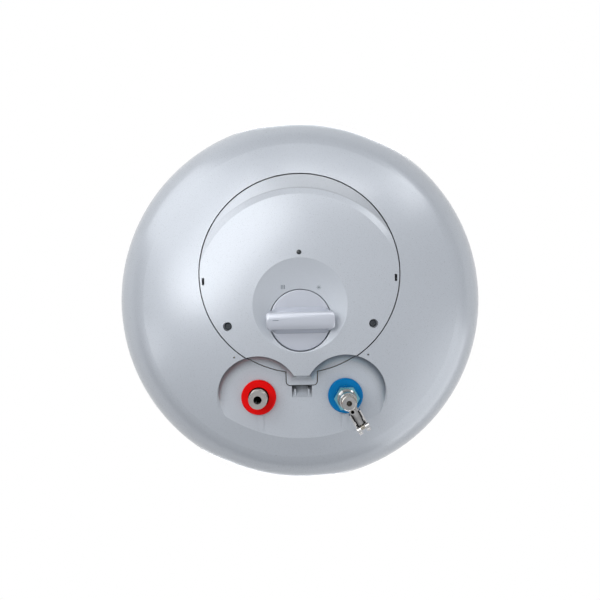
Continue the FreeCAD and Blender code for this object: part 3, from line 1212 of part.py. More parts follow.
# Bracket: bent strap bolted through the casing to the tank, and a spacer low on the rear
def make_bracket():
    wall, strap, half = "axis_to_wall", "bracket_wall", "bracket_half"
    rest = "(body_radius + fit_gap)"
    over = f"({rest} + {strap})"
    inner = f"({half} - {strap})"
    foot_x, foot_y = "sin(foot_angle)", "cos(foot_angle)"
    outline = [
        (f"-{half}", wall), (f"-{half}", f"sqrt({over} ^ 2 - {half} ^ 2)", over, "left"),
        (f"-{over} * {foot_x}", f"{over} * {foot_y}"),
        (f"-{rest} * {foot_x}", f"{rest} * {foot_y}", rest, "right"),
        (f"-{inner}", f"sqrt({rest} ^ 2 - {inner} ^ 2)"),
        (f"-{inner}", f"{wall} - {strap}"), (inner, f"{wall} - {strap}"),
        (inner, f"sqrt({rest} ^ 2 - {inner} ^ 2)", rest, "right"),
        (f"{rest} * {foot_x}", f"{rest} * {foot_y}"),
        (f"{over} * {foot_x}", f"{over} * {foot_y}", over, "left"),
        (half, f"sqrt({over} ^ 2 - {half} ^ 2)"), (half, wall)]
    strap_body = raised("bracket_pad", "bracket_tall", [outline], foot="bracket_height - bracket_tall / 2")
    holes = []
    for side in (-1, 1):
        made = rod(f"hanging_hole_{side + 1}", "hanging_radius", f"{wall} - {strap} - 1", f"{wall} + 1",
                   "bracket_height", f"{side} * hanging_spacing / 2", along="y")
        holes.append(made)
    for i, place in enumerate(bolt_places()):
        holes.append(radial_rod(f"bracket_hole_{i}", "bolt_radius + fit_gap", "body_radius - 2",
                                "body_radius + bracket_wall + 4", *place))
    finished(cut("bracket_cut", strap_body, *holes), "wall_bracket")
    bolts = []
    seat = "(body_radius + fit_gap + bracket_wall)"
    for i, (way, height) in enumerate(bolt_places()):
        shank = radial_rod(f"bolt_shank_{i}", "bolt_radius", f"{seat} - bolt_reach", f"{seat} + bolt_head / 2", way, height)
        head = doc.addObject("Part::Prism", f"bolt_head_{i}")
        head.Polygon = 6
        bind(head, Circumradius="bolt_flats / sqrt(3)", Height="bolt_head")
        foot = way * number(seat) + FreeCAD.Vector(0, 0, height)
        head.Placement = FreeCAD.Placement(foot, FreeCAD.Rotation(FreeCAD.Vector(0, 0, 1), way))
        bolts.append(fuse(f"bolt_{i}", shank, head))
    finished(group("bolt_group", bolts), "bracket_bolts")
    low, high = "spacer_height - spacer_tall / 2", "spacer_height + spacer_tall / 2"
    pad = box("spacer_box", "-spacer_half", "spacer_half", "body_radius * 0.95", wall, low, high)
    hollow = cylinder("spacer_hollow", rest, low + " - 1", high + " + 1")
    finished(cut("spacer_cut", pad, hollow), "wall_spacer")


make_casing()
make_top_cap()
make_bottom_cap()
make_service_cover()
make_tank()
make_flange()
make_element()
make_plate_parts()
make_controls()
make_knob()
make_cover_parts()
make_pipes()
make_valve()
make_check_valve()
make_springs()
make_leads()
make_bracket()

doc.recompute()
for thing in doc.Objects:
    if "Invalid" in thing.State or "Error" in thing.State:
        raise RuntimeError(f"{thing.Name} failed: {thing.State}")
for piece in PIECES:
    if piece.Shape.isNull() or not piece.Shape.isValid():
        raise RuntimeError(f"{piece.Label} is not a valid solid")
    piece.Shape.exportStep(f"parts/{piece.Label}.step")
    print(piece.Label, len(piece.Shape.Solids), round(piece.Shape.Volume / 1000, 2))
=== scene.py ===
"""Finishes, threads, springs, screws, printed marks and studio for a storage water heater."""

import json
import math
from functools import cache, partialmethod

import bmesh
import bpy
from bpy.props import FloatProperty, FloatVectorProperty, IntProperty, PointerProperty
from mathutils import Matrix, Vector
from mathutils.bvhtree import BVHTree

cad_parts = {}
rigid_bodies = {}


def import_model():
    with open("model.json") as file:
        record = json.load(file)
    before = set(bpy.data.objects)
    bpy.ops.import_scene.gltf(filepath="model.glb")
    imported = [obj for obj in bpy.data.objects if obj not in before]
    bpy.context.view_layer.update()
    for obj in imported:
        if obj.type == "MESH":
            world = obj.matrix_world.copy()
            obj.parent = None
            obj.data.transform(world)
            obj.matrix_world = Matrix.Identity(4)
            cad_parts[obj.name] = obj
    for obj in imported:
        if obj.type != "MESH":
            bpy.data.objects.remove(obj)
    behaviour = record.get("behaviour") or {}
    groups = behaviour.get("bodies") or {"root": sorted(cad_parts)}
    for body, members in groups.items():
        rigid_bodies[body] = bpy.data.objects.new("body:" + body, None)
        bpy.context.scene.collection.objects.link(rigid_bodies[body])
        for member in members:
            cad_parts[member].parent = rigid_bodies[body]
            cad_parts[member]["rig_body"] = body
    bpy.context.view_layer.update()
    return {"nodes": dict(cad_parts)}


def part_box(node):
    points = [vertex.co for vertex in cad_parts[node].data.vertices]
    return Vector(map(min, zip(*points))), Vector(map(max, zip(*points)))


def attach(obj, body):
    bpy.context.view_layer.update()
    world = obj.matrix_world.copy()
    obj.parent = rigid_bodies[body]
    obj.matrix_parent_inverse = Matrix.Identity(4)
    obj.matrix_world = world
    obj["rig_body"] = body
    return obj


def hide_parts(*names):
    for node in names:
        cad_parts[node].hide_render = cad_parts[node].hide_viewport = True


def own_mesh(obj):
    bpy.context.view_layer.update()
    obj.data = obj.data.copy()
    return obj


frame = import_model()

bl_info = {
    "name": "Storage Water Heater Finish",
    "version": (1, 0, 0),
    "blender": (4, 5, 0),
    "location": "View3D > Sidebar > Heater",
    "description": "Finishes and small parts of a wall-hung storage water heater",
    "category": "Object",
}

MM = 0.001
MICRON = 0.000001
WELD = 2 * MICRON
AXIS = (0.0, -0.2365)
MIDDLE = Vector((*AXIS, -0.53))
UNDERSIDE = (*AXIS, -0.5)
PIPE_Y = -0.1253
PIPES = {"hot": (-50.0 * MM, PIPE_Y), "cold": (50.0 * MM, PIPE_Y)}

# The safety valve: its thread and neck, its branch, and how far its two valves travel
VALVE_PITCH = 1.337 * MM
VALVE_THREAD_TOP = -0.596
VALVE_NECK = -0.5696
BRANCH_TURN = math.radians(62)
BRANCH_LEVEL = -0.581
BRANCH_SPRING = (12.05 * MM, 20.0 * MM)
CHECK_TRAVEL = 3.5 * MM
RELIEF_TRAVEL = 2.5 * MM

# The underside: radius of the recess round each pipe, then centres behind the axis and radii of its circles
LOBE = 48.0 * MM
SEAM_Y, SEAM = -31.0 * MM, 114.8 * MM
DISH_Y, DISH = 7.3 * MM, 54.6 * MM
CRESCENT = 128.4 * MM

# Printed marks, from the middle of the knob
KNOB_CENTRE = Vector((0.0, -0.2134))
BAR_MARKS = Vector((-19.2, -38.3)) * MM
STAR_MARK = Vector((21.8, -37.0)) * MM
POINTER = Vector((-31.0, -0.8)) * MM

WHITE = (1.0, 1.0, 1.0, 1.0)
DUST = (0.56, 0.54, 0.50)
# Painted blue reflection of the cold collar on the valve's chrome hexagon
PAINTED_COLLAR_REFLECTION = (0.08, 0.36, 0.45)
RUST = (0.20, 0.10, 0.05)
# Brass showing through in the valve's thread roots, darkened further as painted shade
VALVE_ROOT_BRASS_AND_PAINTED_SHADE = (0.30, 0.24, 0.12)
# Share of the colour kept under the painted shade in the seam and the recess
RECESS_PAINTED_SHADE = 0.40
# Share of the colour kept under the painted shade on the cover's crescent
CRESCENT_PAINTED_SHADE = 0.74
# Share of the colour kept under the painted shade in thread roots
THREAD_ROOT_PAINTED_SHADE = 0.35

# Lamps: turn from the heater's right towards its front, tilt from straight down, distance, two sides, share
LAMPS = (
    ("key_lamp", 139, 31, 1.5, 1.25, 0.62, 1.05),
    ("left_lamp", 178, 38, 1.5, 0.3, 0.3, 0.11),
    ("outer_lamp", 140, 66, 1.5, 0.9, 1.1, 0.84),
    ("edge_lamp", 76, 42, 1.5, 0.8, 0.12, 0.24),
    ("wedge_lamp", 45, 57, 1.5, 0.36, 0.45, 0.24),
    ("side_lamp", -36, 72, 1.5, 1.4, 1.3, 1.1),
    ("streak_lamp", 195, 54, 1.5, 0.3, 0.2, 0.08),
    ("front_lamp", 80, 138, 2.6, 1.4, 1.4, 3.4),
    ("rear_lamp", 260, 138, 2.6, 1.2, 1.2, 2.2),
)


# Sizes and colours that a user may change

def tone(name, text, default):
    """A colour property in linear values."""
    return FloatVectorProperty(name=name, description=text, default=(*default, 1.0), size=4,
                               subtype="COLOR", min=0.0, max=1.0)


def number(name, text, default, low, high, **settings):
    """A number property."""
    return FloatProperty(name=name, description=text, default=default, min=low, max=high, **settings)


def length(name, text, default, low=0.0, high=5.0):
    """A length property in metres."""
    return number(name, text, default, low, high, subtype="DISTANCE", unit="LENGTH", precision=5)


class HeaterColours(bpy.types.PropertyGroup):
    """Colours of the heater's finishes."""
    cap: tone("Bottom cap", "Silver-grey moulding of the two caps", (0.475, 0.51, 0.56))
    cover: tone("Service cover", "Moulding of the cover over the controls", (0.49, 0.525, 0.575))
    knob: tone("Knob", "Moulding of the thermostat knob", (0.50, 0.53, 0.60))
    casing: tone("Casing", "Paint on the rolled casing sheet", (0.50, 0.53, 0.575))
    hot: tone("Hot collar", "Red ring round the hot pipe", (0.82, 0.001, 0.001))
    cold: tone("Cold collar", "Blue ring round the cold pipe", (0.001, 0.18, 0.46))
    ink: tone("Printed marks", "Ink of the marks beside the knob", (0.17, 0.20, 0.23))
    foam: tone("Foam", "Rigid foam between tank and casing", (0.70, 0.55, 0.26))


class HeaterThreads(bpy.types.PropertyGroup):
    """Pipe threads, springs and screws."""
    crest: length("Thread radius", "Half-inch pipe thread, over its crests", 10.48 * MM)
    pitch: length("Thread pitch", "Fourteen turns to the inch", 1.814 * MM, low=0.5 * MM)
    depth: length("Thread depth", "From crest to root", 1.16 * MM)
    reach: length("Thread length", "From the pipe's tip to the plain pipe", 23.0 * MM)
    bore: length("Pipe bore", "Inside radius of the pipe ends", 8.0 * MM)
    wire: length("Spring wire", "Wire of both springs in the valve", 0.8 * MM)
    head: length("Screw head", "Radius of the cover screws' heads", 4.2 * MM)
    sides: IntProperty(name="Sides", description="Steps round each thread", default=56, min=12, max=128)


class HeaterKnob(bpy.types.PropertyGroup):
    """Thermostat knob and its grip bar."""
    radius: length("Disc radius", "Knob's disc", 34.9 * MM)
    disc: length("Disc thickness", "Face to rear of the disc", 8.2 * MM)
    round: length("Rim rounding", "Rounding of the disc's rim", 1.0 * MM)
    hub: length("Hub radius", "Hub behind the disc", 6.0 * MM)
    bore: length("Bore radius", "Hole for the spindle", 3.02 * MM)
    bar_height: length("Bar height", "Crest of the bar over the disc", 17.0 * MM)
    root_length: length("Root length", "Bar where it leaves the disc", 60.0 * MM)
    root_width: length("Root width", "Bar where it leaves the disc", 30.0 * MM)
    crest_width: length("Crest width", "Bar at its shoulders", 19.0 * MM)
    crown: length("Crown", "Rise of the crest's arc over the shoulders", 2.5 * MM)
    corner: length("Corner radius", "Corners of the bar seen from below", 4.0 * MM)
    end_round: length("End rounding", "How far the crest draws in at the bar's ends", 1.8 * MM)


class HeaterStudio(bpy.types.PropertyGroup):
    """Floor, lamps and camera."""
    floor: length("Floor", "Height of the floor", -2.3, low=-10.0)
    eye: length("Camera height", "Camera under the heater, on its axis", -1.442, low=-10.0)
    lens: number("Lens", "Focal length on a 36 mm sensor", 46.98, 10.0, 200.0, subtype="DISTANCE_CAMERA")
    roll: number("Roll", "Turn of the camera about its own axis", math.radians(1.25), -math.pi, math.pi,
                 subtype="ANGLE")
    sky: number("Sky", "Strength of the soft light all round", 0.35, 0.0, 5.0)
    key: number("Key lamp", "Power of the large lamp at the left front", 7.2, 0.0, 500.0, subtype="POWER")


# Node trees

def put(tree, kind, inputs=None, **settings):
    """Adds a node, with its settings and its inputs, each a constant or what another node puts out."""
    node = tree.nodes.new(kind)
    for name, value in settings.items():
        setattr(node, name, value)
    for name, value in (inputs or {}).items():
        value = getattr(value, "socket", value)
        if isinstance(value, bpy.types.NodeSocket):
            tree.links.new(value, node.inputs[name])
        else:
            node.inputs[name].default_value = value
    return node


def out(tree, kind, inputs=None, output=0, **settings):
    """What a new node puts out."""
    return Value(tree, put(tree, kind, inputs, **settings).outputs[output])


class Value:
    """What a node puts out; arithmetic with it adds Math nodes to its tree."""

    def __init__(self, tree, socket):
        self.tree = tree
        self.socket = socket

    def do(self, operation, *others, swapped=False):
        """Result of a Math operation on this value and others."""
        terms = (*others, self) if swapped else (self, *others)
        return out(self.tree, "ShaderNodeMath", dict(enumerate(terms)), operation=operation)

    __add__ = __radd__ = partialmethod(do, "ADD")
    __mul__ = __rmul__ = partialmethod(do, "MULTIPLY")
    __sub__ = partialmethod(do, "SUBTRACT")
    __rsub__ = partialmethod(do, "SUBTRACT", swapped=True)
    __truediv__ = partialmethod(do, "DIVIDE")
    __lt__ = partialmethod(do, "LESS_THAN")
    __gt__ = partialmethod(do, "GREATER_THAN")
    __abs__ = partialmethod(do, "ABSOLUTE")

    def spread(self, low, high, to_low=0.0, to_high=1.0):
        """This value carried from one range to another, held at its ends."""
        return out(self.tree, "ShaderNodeMapRange", {
            "Value": self, "From Min": low, "From Max": high, "To Min": to_low, "To Max": to_high})

    def fade(self, low, high):
        """Falls from 1 to 0 as this value rises from low to high."""
        return self.spread(low, high, 1.0, 0.0)

    def to(self, low, high):
        """Goes from low to high as this value goes from 0 to 1."""
        return self.spread(0.0, 1.0, low, high)

    def mix(self, low, high):
        """Colour between two colours, by this share from 0 to 1."""
        low, high = (c if isinstance(c, Value) else (*c[:3], 1.0) for c in (low, high))
        return out(self.tree, "ShaderNodeMix", {0: self, 6: low, 7: high}, 2, data_type="RGBA")

    def parts(self):
        """X, Y and Z of this vector."""
        node = put(self.tree, "ShaderNodeSeparateXYZ", {"Vector": self})
        return [Value(self.tree, socket) for socket in node.outputs]


def radius_of(x, y):
    """Length of an offset in a plane."""
    return (x * x + y * y).do("SQRT")


def thread_wave(height, pitch, angle):
    """Wave between 0 and 1 that winds round an axis, one turn to each pitch."""
    return abs((height / pitch - angle / math.tau).do("FRACT") * 2.0 - 1.0)


def rays_of(tree):
    """Kinds of light ray, each 1 for a ray of that kind."""
    return {socket.name: Value(tree, socket) for socket in tree.nodes.new("ShaderNodeLightPath").outputs}


def noise(at, scale, detail):
    """Noise at a scale in cycles per metre."""
    return out(at.tree, "ShaderNodeTexNoise", {"Vector": at, "Scale": scale, "Detail": detail})


def cell_shade(at, scale):
    """Random shade of each cell that a surface is broken up into."""
    cells = out(at.tree, "ShaderNodeTexVoronoi", {"Vector": at, "Scale": scale}, "Color")
    return out(at.tree, "ShaderNodeSeparateColor", {"Color": cells})


def shade(colour, share):
    """A darker or lighter version of a colour."""
    return [min(1.0, part * share) for part in colour[:3]]


def shared(title, **defaults):
    """Makes a shader node group, once, from a recipe on Vector and the named values."""
    def wrap(recipe):
        @cache
        def group():
            tree = bpy.data.node_groups.new(title, "ShaderNodeTree")
            tree.interface.new_socket("Vector", in_out="INPUT", socket_type="NodeSocketVector")
            for label, value in defaults.items():
                socket = tree.interface.new_socket(label, in_out="INPUT", socket_type="NodeSocketFloat")
                socket.default_value = value
            given = tree.nodes.new("NodeGroupInput").outputs
            results = recipe(*(Value(tree, given[label]) for label in ("Vector", *defaults)))
            for label in results:
                tree.interface.new_socket(label, in_out="OUTPUT", socket_type="NodeSocketFloat")
            put(tree, "NodeGroupOutput", results)
            return tree
        return group
    return wrap


@shared("Moulded grain", Scale=600.0)
def moulded_grain(at, scale):
    """Fine moulded or cast grain."""
    coarse = noise(at, scale, 3.0)
    fine = noise(at, scale * 3.1, 1.0)
    return {"Height": coarse * 0.65 + fine * 0.35, "Shade": fine.spread(0.3, 0.7)}


@shared("Broad mottling", Scale=9.0)
def broad_mottling(at, scale):
    """Broad, faint unevenness of a finish."""
    return {"Shade": noise(at, scale, 4.0).spread(0.32, 0.68)}


@shared("Silver flake", Scale=2600.0)
def silver_flake(at, scale):
    """Tiny metal flakes in a silver finish."""
    return {"Sparkle": cell_shade(at, scale)}


@shared("Fine scuffs", Scale=60.0, Amount=0.3)
def fine_scuffs(at, scale, amount):
    """Hair-fine scuffs, at random angles, in a few places."""
    turned = out(at.tree, "ShaderNodeVectorRotate", {"Vector": at, "Angle": 0.9}, rotation_type="Z_AXIS")
    lines = out(at.tree, "ShaderNodeTexWave", {
        "Vector": turned, "Scale": scale, "Distortion": 14.0, "Detail": 3.0, "Detail Scale": 1.4}, "Fac")
    places = noise(at, scale, 0.0).spread(0.52, 0.62)
    return {"Mask": lines.spread(0.965, 1.0) * places * amount}


@shared("Settled dust", Scale=40.0, Amount=0.4)
def settled_dust(at, scale, amount):
    """Dust that settles where a surface faces up."""
    facing = out(at.tree, "ShaderNodeNewGeometry", output="Normal").parts()[2]
    cloud = noise(at, scale, 5.0).spread(0.35, 0.75)
    return {"Mask": facing.spread(0.55, 1.0) * cloud * amount}


@shared("Cut thread", Pitch=1.25 * MM)
def cut_thread(at, pitch):
    """Screw thread round the Z axis; Valley is 1 at the roots."""
    x, y, z = at.parts()
    ridge = thread_wave(z, pitch, y.do("ARCTAN2", x))
    return {"Height": ridge, "Valley": ridge.spread(0.35, 0.0)}


@shared("Drawn lines", Scale=900.0, Stretch=0.02)
def drawn_lines(at, scale, stretch):
    """Long fine lines that drawing leaves along an axis."""
    x, y, z = at.parts()
    squeezed = out(at.tree, "ShaderNodeCombineXYZ", {"X": x, "Y": y, "Z": z * stretch})
    return {"Height": noise(squeezed, scale, 2.0)}


# Finishes

class Finish:
    """Material in the making: its tree, its Principled shader and its centred Object coordinates."""

    def __init__(self, name, centre=(0.0, 0.0, 0.0), **constants):
        """Starts the material, with the shader's inputs that stay the same all over."""
        self.material = bpy.data.materials.new(name)
        self.material.use_nodes = True
        self.tree = self.material.node_tree
        self.tree.nodes.clear()
        named = {key.replace("_", " "): value for key, value in constants.items()}
        self.shader = put(self.tree, "ShaderNodeBsdfPrincipled", named)
        put(self.tree, "ShaderNodeOutputMaterial", {"Surface": self.shader.outputs["BSDF"]})
        where = out(self.tree, "ShaderNodeTexCoord", output="Object")
        self.at = out(self.tree, "ShaderNodeMapping", {"Vector": where, "Location": [-c for c in centre]})

    def effect(self, group, **values):
        """What a shared effect puts out, placed with its own values."""
        node = put(self.tree, "ShaderNodeGroup", {"Vector": self.at, **values}, node_tree=group())
        return {socket.name: Value(self.tree, socket) for socket in node.outputs}

    def mottled(self, scale, dark, light):
        """Colour that drifts between two colours."""
        return self.effect(broad_mottling, Scale=scale)["Shade"].mix(dark, light)

    def worn(self, rough, scale, amount):
        """Roughness with fine scuffs on it."""
        return rough + self.effect(fine_scuffs, Scale=scale, Amount=amount)["Mask"]

    def away(self, x, y, mirrored=False):
        """Distance across the underside from a place, or from it and its mirror image."""
        across, along, _ = self.at.parts()
        return radius_of((abs(across) if mirrored else across) - x, along - y)

    def feed(self, name, value):
        """Joins a value to one of the shader's inputs."""
        self.tree.links.new(value.socket, self.shader.inputs[name])

    def close(self, colour, rough, height=None, relief=0.0):
        """Joins colour, roughness and a relief in metres to the shader; gives the material."""
        self.feed("Base Color", colour)
        self.feed("Roughness", rough)
        if height is not None:
            bump = {"Height": height, "Distance": relief, "Strength": 1.0}
            self.feed("Normal", out(self.tree, "ShaderNodeBump", bump))
        return self.material


def painted_seam_and_recess_shade(finish):
    """Mask of the painted shade in the seam round the cover, on the recess walls and along their foot."""
    x, y, _ = finish.at.parts()
    lobe = finish.away(PIPES["cold"][0], PIPE_Y - AXIS[1], mirrored=True)
    seam = abs(finish.away(0.0, SEAM_Y) - SEAM)
    beside_hood = abs(x).spread(12.0 * MM, 24.0 * MM)
    before_rim = y.fade(106.0 * MM, 126.0 * MM)
    foot = lobe.spread(LOBE - 14.0 * MM, LOBE - 1.0 * MM, 0.0, 0.45) * lobe.fade(LOBE, LOBE + 0.4 * MM)
    upright = abs(out(finish.tree, "ShaderNodeNewGeometry", output="Normal").parts()[2]).fade(0.3, 0.9)
    recess = lobe.fade(LOBE + 1.0 * MM, LOBE + 2.5 * MM)
    walls = upright * recess.do("MAXIMUM", seam.fade(1.2 * MM, 2.0 * MM))
    outside = beside_hood * lobe.spread(LOBE, LOBE + 1.0 * MM)
    cover_side = y.fade(60.0 * MM, 70.0 * MM)
    line = seam.fade(0.5 * MM, 0.8 * MM) * outside.do("MAXIMUM", cover_side)
    return (foot * beside_hood * before_rim + walls).do("MAXIMUM", line).do("MINIMUM", 1.0)


def silver_plastic(name, colour, rough=0.3, flake=0.05, wear=0.12, coat=0.35, cover=False):
    """Silver-grey moulding with fine flake and painted shade in the seam and recess; the cover has a matt
    dish and painted shade on its crescent.
    """
    finish = Finish(name, UNDERSIDE, Metallic=0.22, Coat_Weight=coat, Coat_Roughness=0.16,
                    Specular_IOR_Level=0.5)
    sparkle = finish.effect(silver_flake, Scale=2300.0)["Sparkle"]
    broad = finish.effect(broad_mottling, Scale=7.0)["Shade"]
    clean = (sparkle * 0.6 + broad * 0.4).mix(shade(colour, 1.0 - flake), shade(colour, 1.0 + flake))
    fine = finish.effect(moulded_grain, Scale=420.0)
    base = finish.worn(fine["Shade"].to(rough - 0.03, rough + 0.03), 38.0, wear)
    if cover:
        # Painted shade on the crescent beyond the arc, weaker towards the left where the highlight lies
        left_to_right = finish.at.parts()[0].spread(-65.0 * MM, 5.0 * MM, 0.25, 1.0)
        crescent = finish.away(0.0, 0.0).spread(CRESCENT, CRESCENT + 0.8 * MM)
        clean = (left_to_right * crescent).mix(clean, shade(colour, CRESCENT_PAINTED_SHADE))
        dish = finish.away(0.0, DISH_Y).fade(DISH - 0.4 * MM, DISH)
        base = base + dish * 0.2
        finish.feed("Coat Weight", dish.to(coat, 0.04))
    # Painted shade darkens the seam, the recess walls and the floor along their foot
    tint = painted_seam_and_recess_shade(finish).mix(clean, shade(colour, RECESS_PAINTED_SHADE))
    return finish.close(tint, base, fine["Height"], 4 * MICRON)


def painted_sheet(name, colour):
    """Powder-coated steel sheet with its orange peel, and dust where it faces up."""
    finish = Finish(name, (*AXIS, -0.2), Metallic=0.05, Coat_Weight=0.12, Coat_Roughness=0.3)
    clean = finish.mottled(5.0, shade(colour, 0.96), shade(colour, 1.04))
    dust = finish.effect(settled_dust, Scale=55.0, Amount=0.35)["Mask"]
    peel = finish.effect(moulded_grain, Scale=260.0)
    return finish.close(dust.mix(clean, DUST), peel["Shade"].to(0.42, 0.50) + dust * 0.5,
                        peel["Height"], 20 * MICRON)


def plain_plastic(name, colour, rough=0.42, grain=10, contrast=0.06, **constants):
    """Moulded plastic of one colour, with a fine grain in microns."""
    finish = Finish(name, **constants)
    fine = finish.effect(moulded_grain, Scale=700.0)
    return finish.close(finish.mottled(45.0, shade(colour, 1.0 - contrast), shade(colour, 1.0 + contrast)),
                        finish.worn(fine["Shade"].to(rough - 0.04, rough + 0.04), 110.0, 0.15),
                        fine["Height"], grain * MICRON)


def bare_metal(name, colour, rough=0.3, scale=320.0, stain=None, grain=6, centre=(0.0, 0.0, 0.0)):
    """Cast, drawn or plated metal: uneven tone, stains and a fine grain in microns."""
    finish = Finish(name, centre, Metallic=1.0)
    tint = finish.mottled(70.0, shade(colour, 0.86), shade(colour, 1.08))
    if stain is not None:
        patches = finish.effect(broad_mottling, Scale=28.0)["Shade"]
        tint = patches.spread(0.62, 1.0, 0.0, 0.55).mix(tint, stain)
    fine = finish.effect(moulded_grain, Scale=scale)
    return finish.close(tint, finish.worn(fine["Shade"].to(rough - 0.06, rough + 0.06), 150.0, 0.2),
                        fine["Height"], grain * MICRON)


def plated_threads(name, colour):
    """Plated metal, with painted shade in the thread roots on the fixings below the frame's origin."""
    finish = Finish(name, UNDERSIDE, Metallic=1.0)
    below = finish.at.parts()[2].spread(-UNDERSIDE[2], -UNDERSIDE[2] - 0.4 * MM)
    valley = finish.effect(cut_thread, Pitch=1.25 * MM)["Valley"] * below
    plain = finish.mottled(90.0, shade(colour, 0.9), shade(colour, 1.06))
    fine = finish.effect(moulded_grain, Scale=500.0)["Shade"]
    # Thread roots darkened as painted shade
    return finish.close(valley.mix(plain, shade(colour, THREAD_ROOT_PAINTED_SHADE)), fine.to(0.27, 0.35))


def chrome(name, centre, top, neck, low=0.30, high=0.42):
    """Chrome plating over cast brass: thread below the height top, with brass and painted shade in its
    roots; above the height neck, a painted blue reflection of the cold collar.
    """
    finish = Finish(name, centre, Metallic=1.0)
    x, y, z = finish.at.parts()
    thread = finish.effect(cut_thread, Pitch=VALVE_PITCH)
    where = z.spread(top, top - 0.4 * MM) * radius_of(x, y).spread(7.0 * MM, 7.5 * MM)
    plain = finish.mottled(110.0, (low, low, low), (high, high, high))
    # Above the neck, a painted blue reflection of the cold collar
    tinted = z.spread(neck - 0.4 * MM, neck, 0.0, 0.75).mix(plain, PAINTED_COLLAR_REFLECTION)
    fine = finish.effect(moulded_grain, Scale=240.0)
    # Thread roots: brass showing through the plating, and painted shade
    return finish.close((thread["Valley"] * where).mix(tinted, VALVE_ROOT_BRASS_AND_PAINTED_SHADE),
                        fine["Shade"].to(0.09, 0.17),
                        thread["Height"] * where + fine["Height"] * 0.06, 0.5 * MM)


def zinc_plated(name):
    """Bright zinc with faint blue and yellow bloom."""
    finish = Finish(name, Metallic=1.0)
    cool = cell_shade(finish.at, 160.0).mix((0.50, 0.53, 0.58), (0.62, 0.65, 0.69))
    bloom = finish.effect(broad_mottling, Scale=35.0)["Shade"].spread(0.5, 1.0, 0.0, 0.5)
    fine = finish.effect(moulded_grain, Scale=800.0)
    return finish.close(bloom.mix(cool, (0.60, 0.55, 0.38)), fine["Shade"].to(0.26, 0.38),
                        fine["Height"], 8 * MICRON)


def rigid_foam(name, colour):
    """Foam with open cells."""
    finish = Finish(name, Specular_IOR_Level=0.25)
    wall = out(finish.tree, "ShaderNodeTexVoronoi", {"Vector": finish.at, "Scale": 900.0}, "Distance",
               feature="DISTANCE_TO_EDGE").spread(0.0, 0.12)
    # Each cell darkens towards its middle, where the bump sinks into a pit: painted shade in the pits
    deep = shade(colour, 0.72)
    tint = (wall * 0.6).mix(finish.mottled(18.0, deep, shade(colour, 1.06)), deep)
    return finish.close(tint, wall.to(0.75, 0.95), 1.0 - wall, 0.3 * MM)


def steel_tank(name):
    """Bare drawn steel with rust stains."""
    finish = Finish(name, (*AXIS, -0.18), Metallic=0.85)
    lines = finish.effect(drawn_lines, Scale=700.0, Stretch=0.03)["Height"]
    rust = finish.effect(broad_mottling, Scale=22.0)["Shade"]
    steel = lines.mix((0.20, 0.21, 0.22), (0.31, 0.32, 0.33))
    tint = rust.spread(0.7, 1.0, 0.0, 0.6).mix(steel, RUST)
    return finish.close(tint, rust.to(0.38, 0.62), lines, 10 * MICRON)


def clear_lens(name):
    """Dark tinted lens of the unlit indicator lamp."""
    finish = Finish(name, Transmission_Weight=0.55, IOR=1.49)
    fine = finish.effect(moulded_grain, Scale=900.0)
    return finish.close(fine["Shade"].mix((0.030, 0.045, 0.055), (0.055, 0.07, 0.08)),
                        fine["Shade"].to(0.08, 0.16), fine["Height"], 4 * MICRON)


def dress(material, *names):
    """Gives a finish to CAD nodes, in the slots that they have."""
    for name in names:
        piece = frame["nodes"][name]
        if not piece.material_slots:
            piece.data.materials.append(material)
        for slot in piece.material_slots:
            slot.material = material


# Meshes

def add(name, data):
    """New object in the scene."""
    piece = bpy.data.objects.new(name, data)
    bpy.context.scene.collection.objects.link(piece)
    return piece


def clean_into(mesh, shape):
    """Merges doubles, turns faces outwards and hands a bmesh over to a mesh."""
    bmesh.ops.remove_doubles(shape, verts=shape.verts, dist=WELD)
    bmesh.ops.recalc_face_normals(shape, faces=shape.faces)
    shape.to_mesh(mesh)
    shape.free()
    return mesh


def freeze(piece, sharp=35.0):
    """Turns an object's modifiers into one plain mesh, smooth but for its sharp edges."""
    graph = bpy.context.evaluated_depsgraph_get()
    mesh = bpy.data.meshes.new_from_object(piece.evaluated_get(graph))
    if not mesh.polygons:
        raise RuntimeError(f"{piece.name} came out empty")
    piece.modifiers.clear()
    piece.data = mesh
    shape = bmesh.new()
    shape.from_mesh(mesh)
    clean_into(mesh, shape)
    mesh.shade_smooth()
    mesh.set_sharp_from_angle(angle=math.radians(sharp))
    return piece


def skin(shape, rings):
    """Closes a stack of outlines with side faces and two ends."""
    for near, far in zip(rings, rings[1:]):
        for index, point in enumerate(near):
            after = (index + 1) % len(near)
            shape.faces.new((point, near[after], far[after], far[index]))
    shape.faces.new(rings[0][::-1])
    shape.faces.new(rings[-1])


def new_tree(name, **labels):
    """Geometry tree with named inputs, listed by kind, and a material; gives the tree and the inputs."""
    tree = bpy.data.node_groups.new(name, "GeometryNodeTree")
    labels["Material"] = ["Material"]
    for kind, wanted in labels.items():
        for label in wanted:
            tree.interface.new_socket(label, in_out="INPUT", socket_type="NodeSocket" + kind)
    tree.interface.new_socket("Geometry", in_out="OUTPUT", socket_type="NodeSocketGeometry")
    given = tree.nodes.new("NodeGroupInput").outputs
    return tree, [Value(tree, given[label]) for wanted in labels.values() for label in wanted]


def close_tree(tree, geometry, material):
    """Ends a tree in real geometry with its material."""
    real = out(tree, "GeometryNodeRealizeInstances", {"Geometry": geometry})
    painted = out(tree, "GeometryNodeSetMaterial", {"Geometry": real, "Material": material})
    put(tree, "NodeGroupOutput", {"Geometry": painted})
    return tree


def grow(name, tree, values):
    """Runs a geometry tree with these inputs and keeps its result as one plain mesh."""
    piece = add(name, bpy.data.meshes.new(name))
    modifier = piece.modifiers.new(tree.name, "NODES")
    modifier.node_group = tree
    for item in tree.interface.items_tree:
        if item.in_out == "INPUT":
            modifier[item.identifier] = values[item.name]
    return freeze(piece)


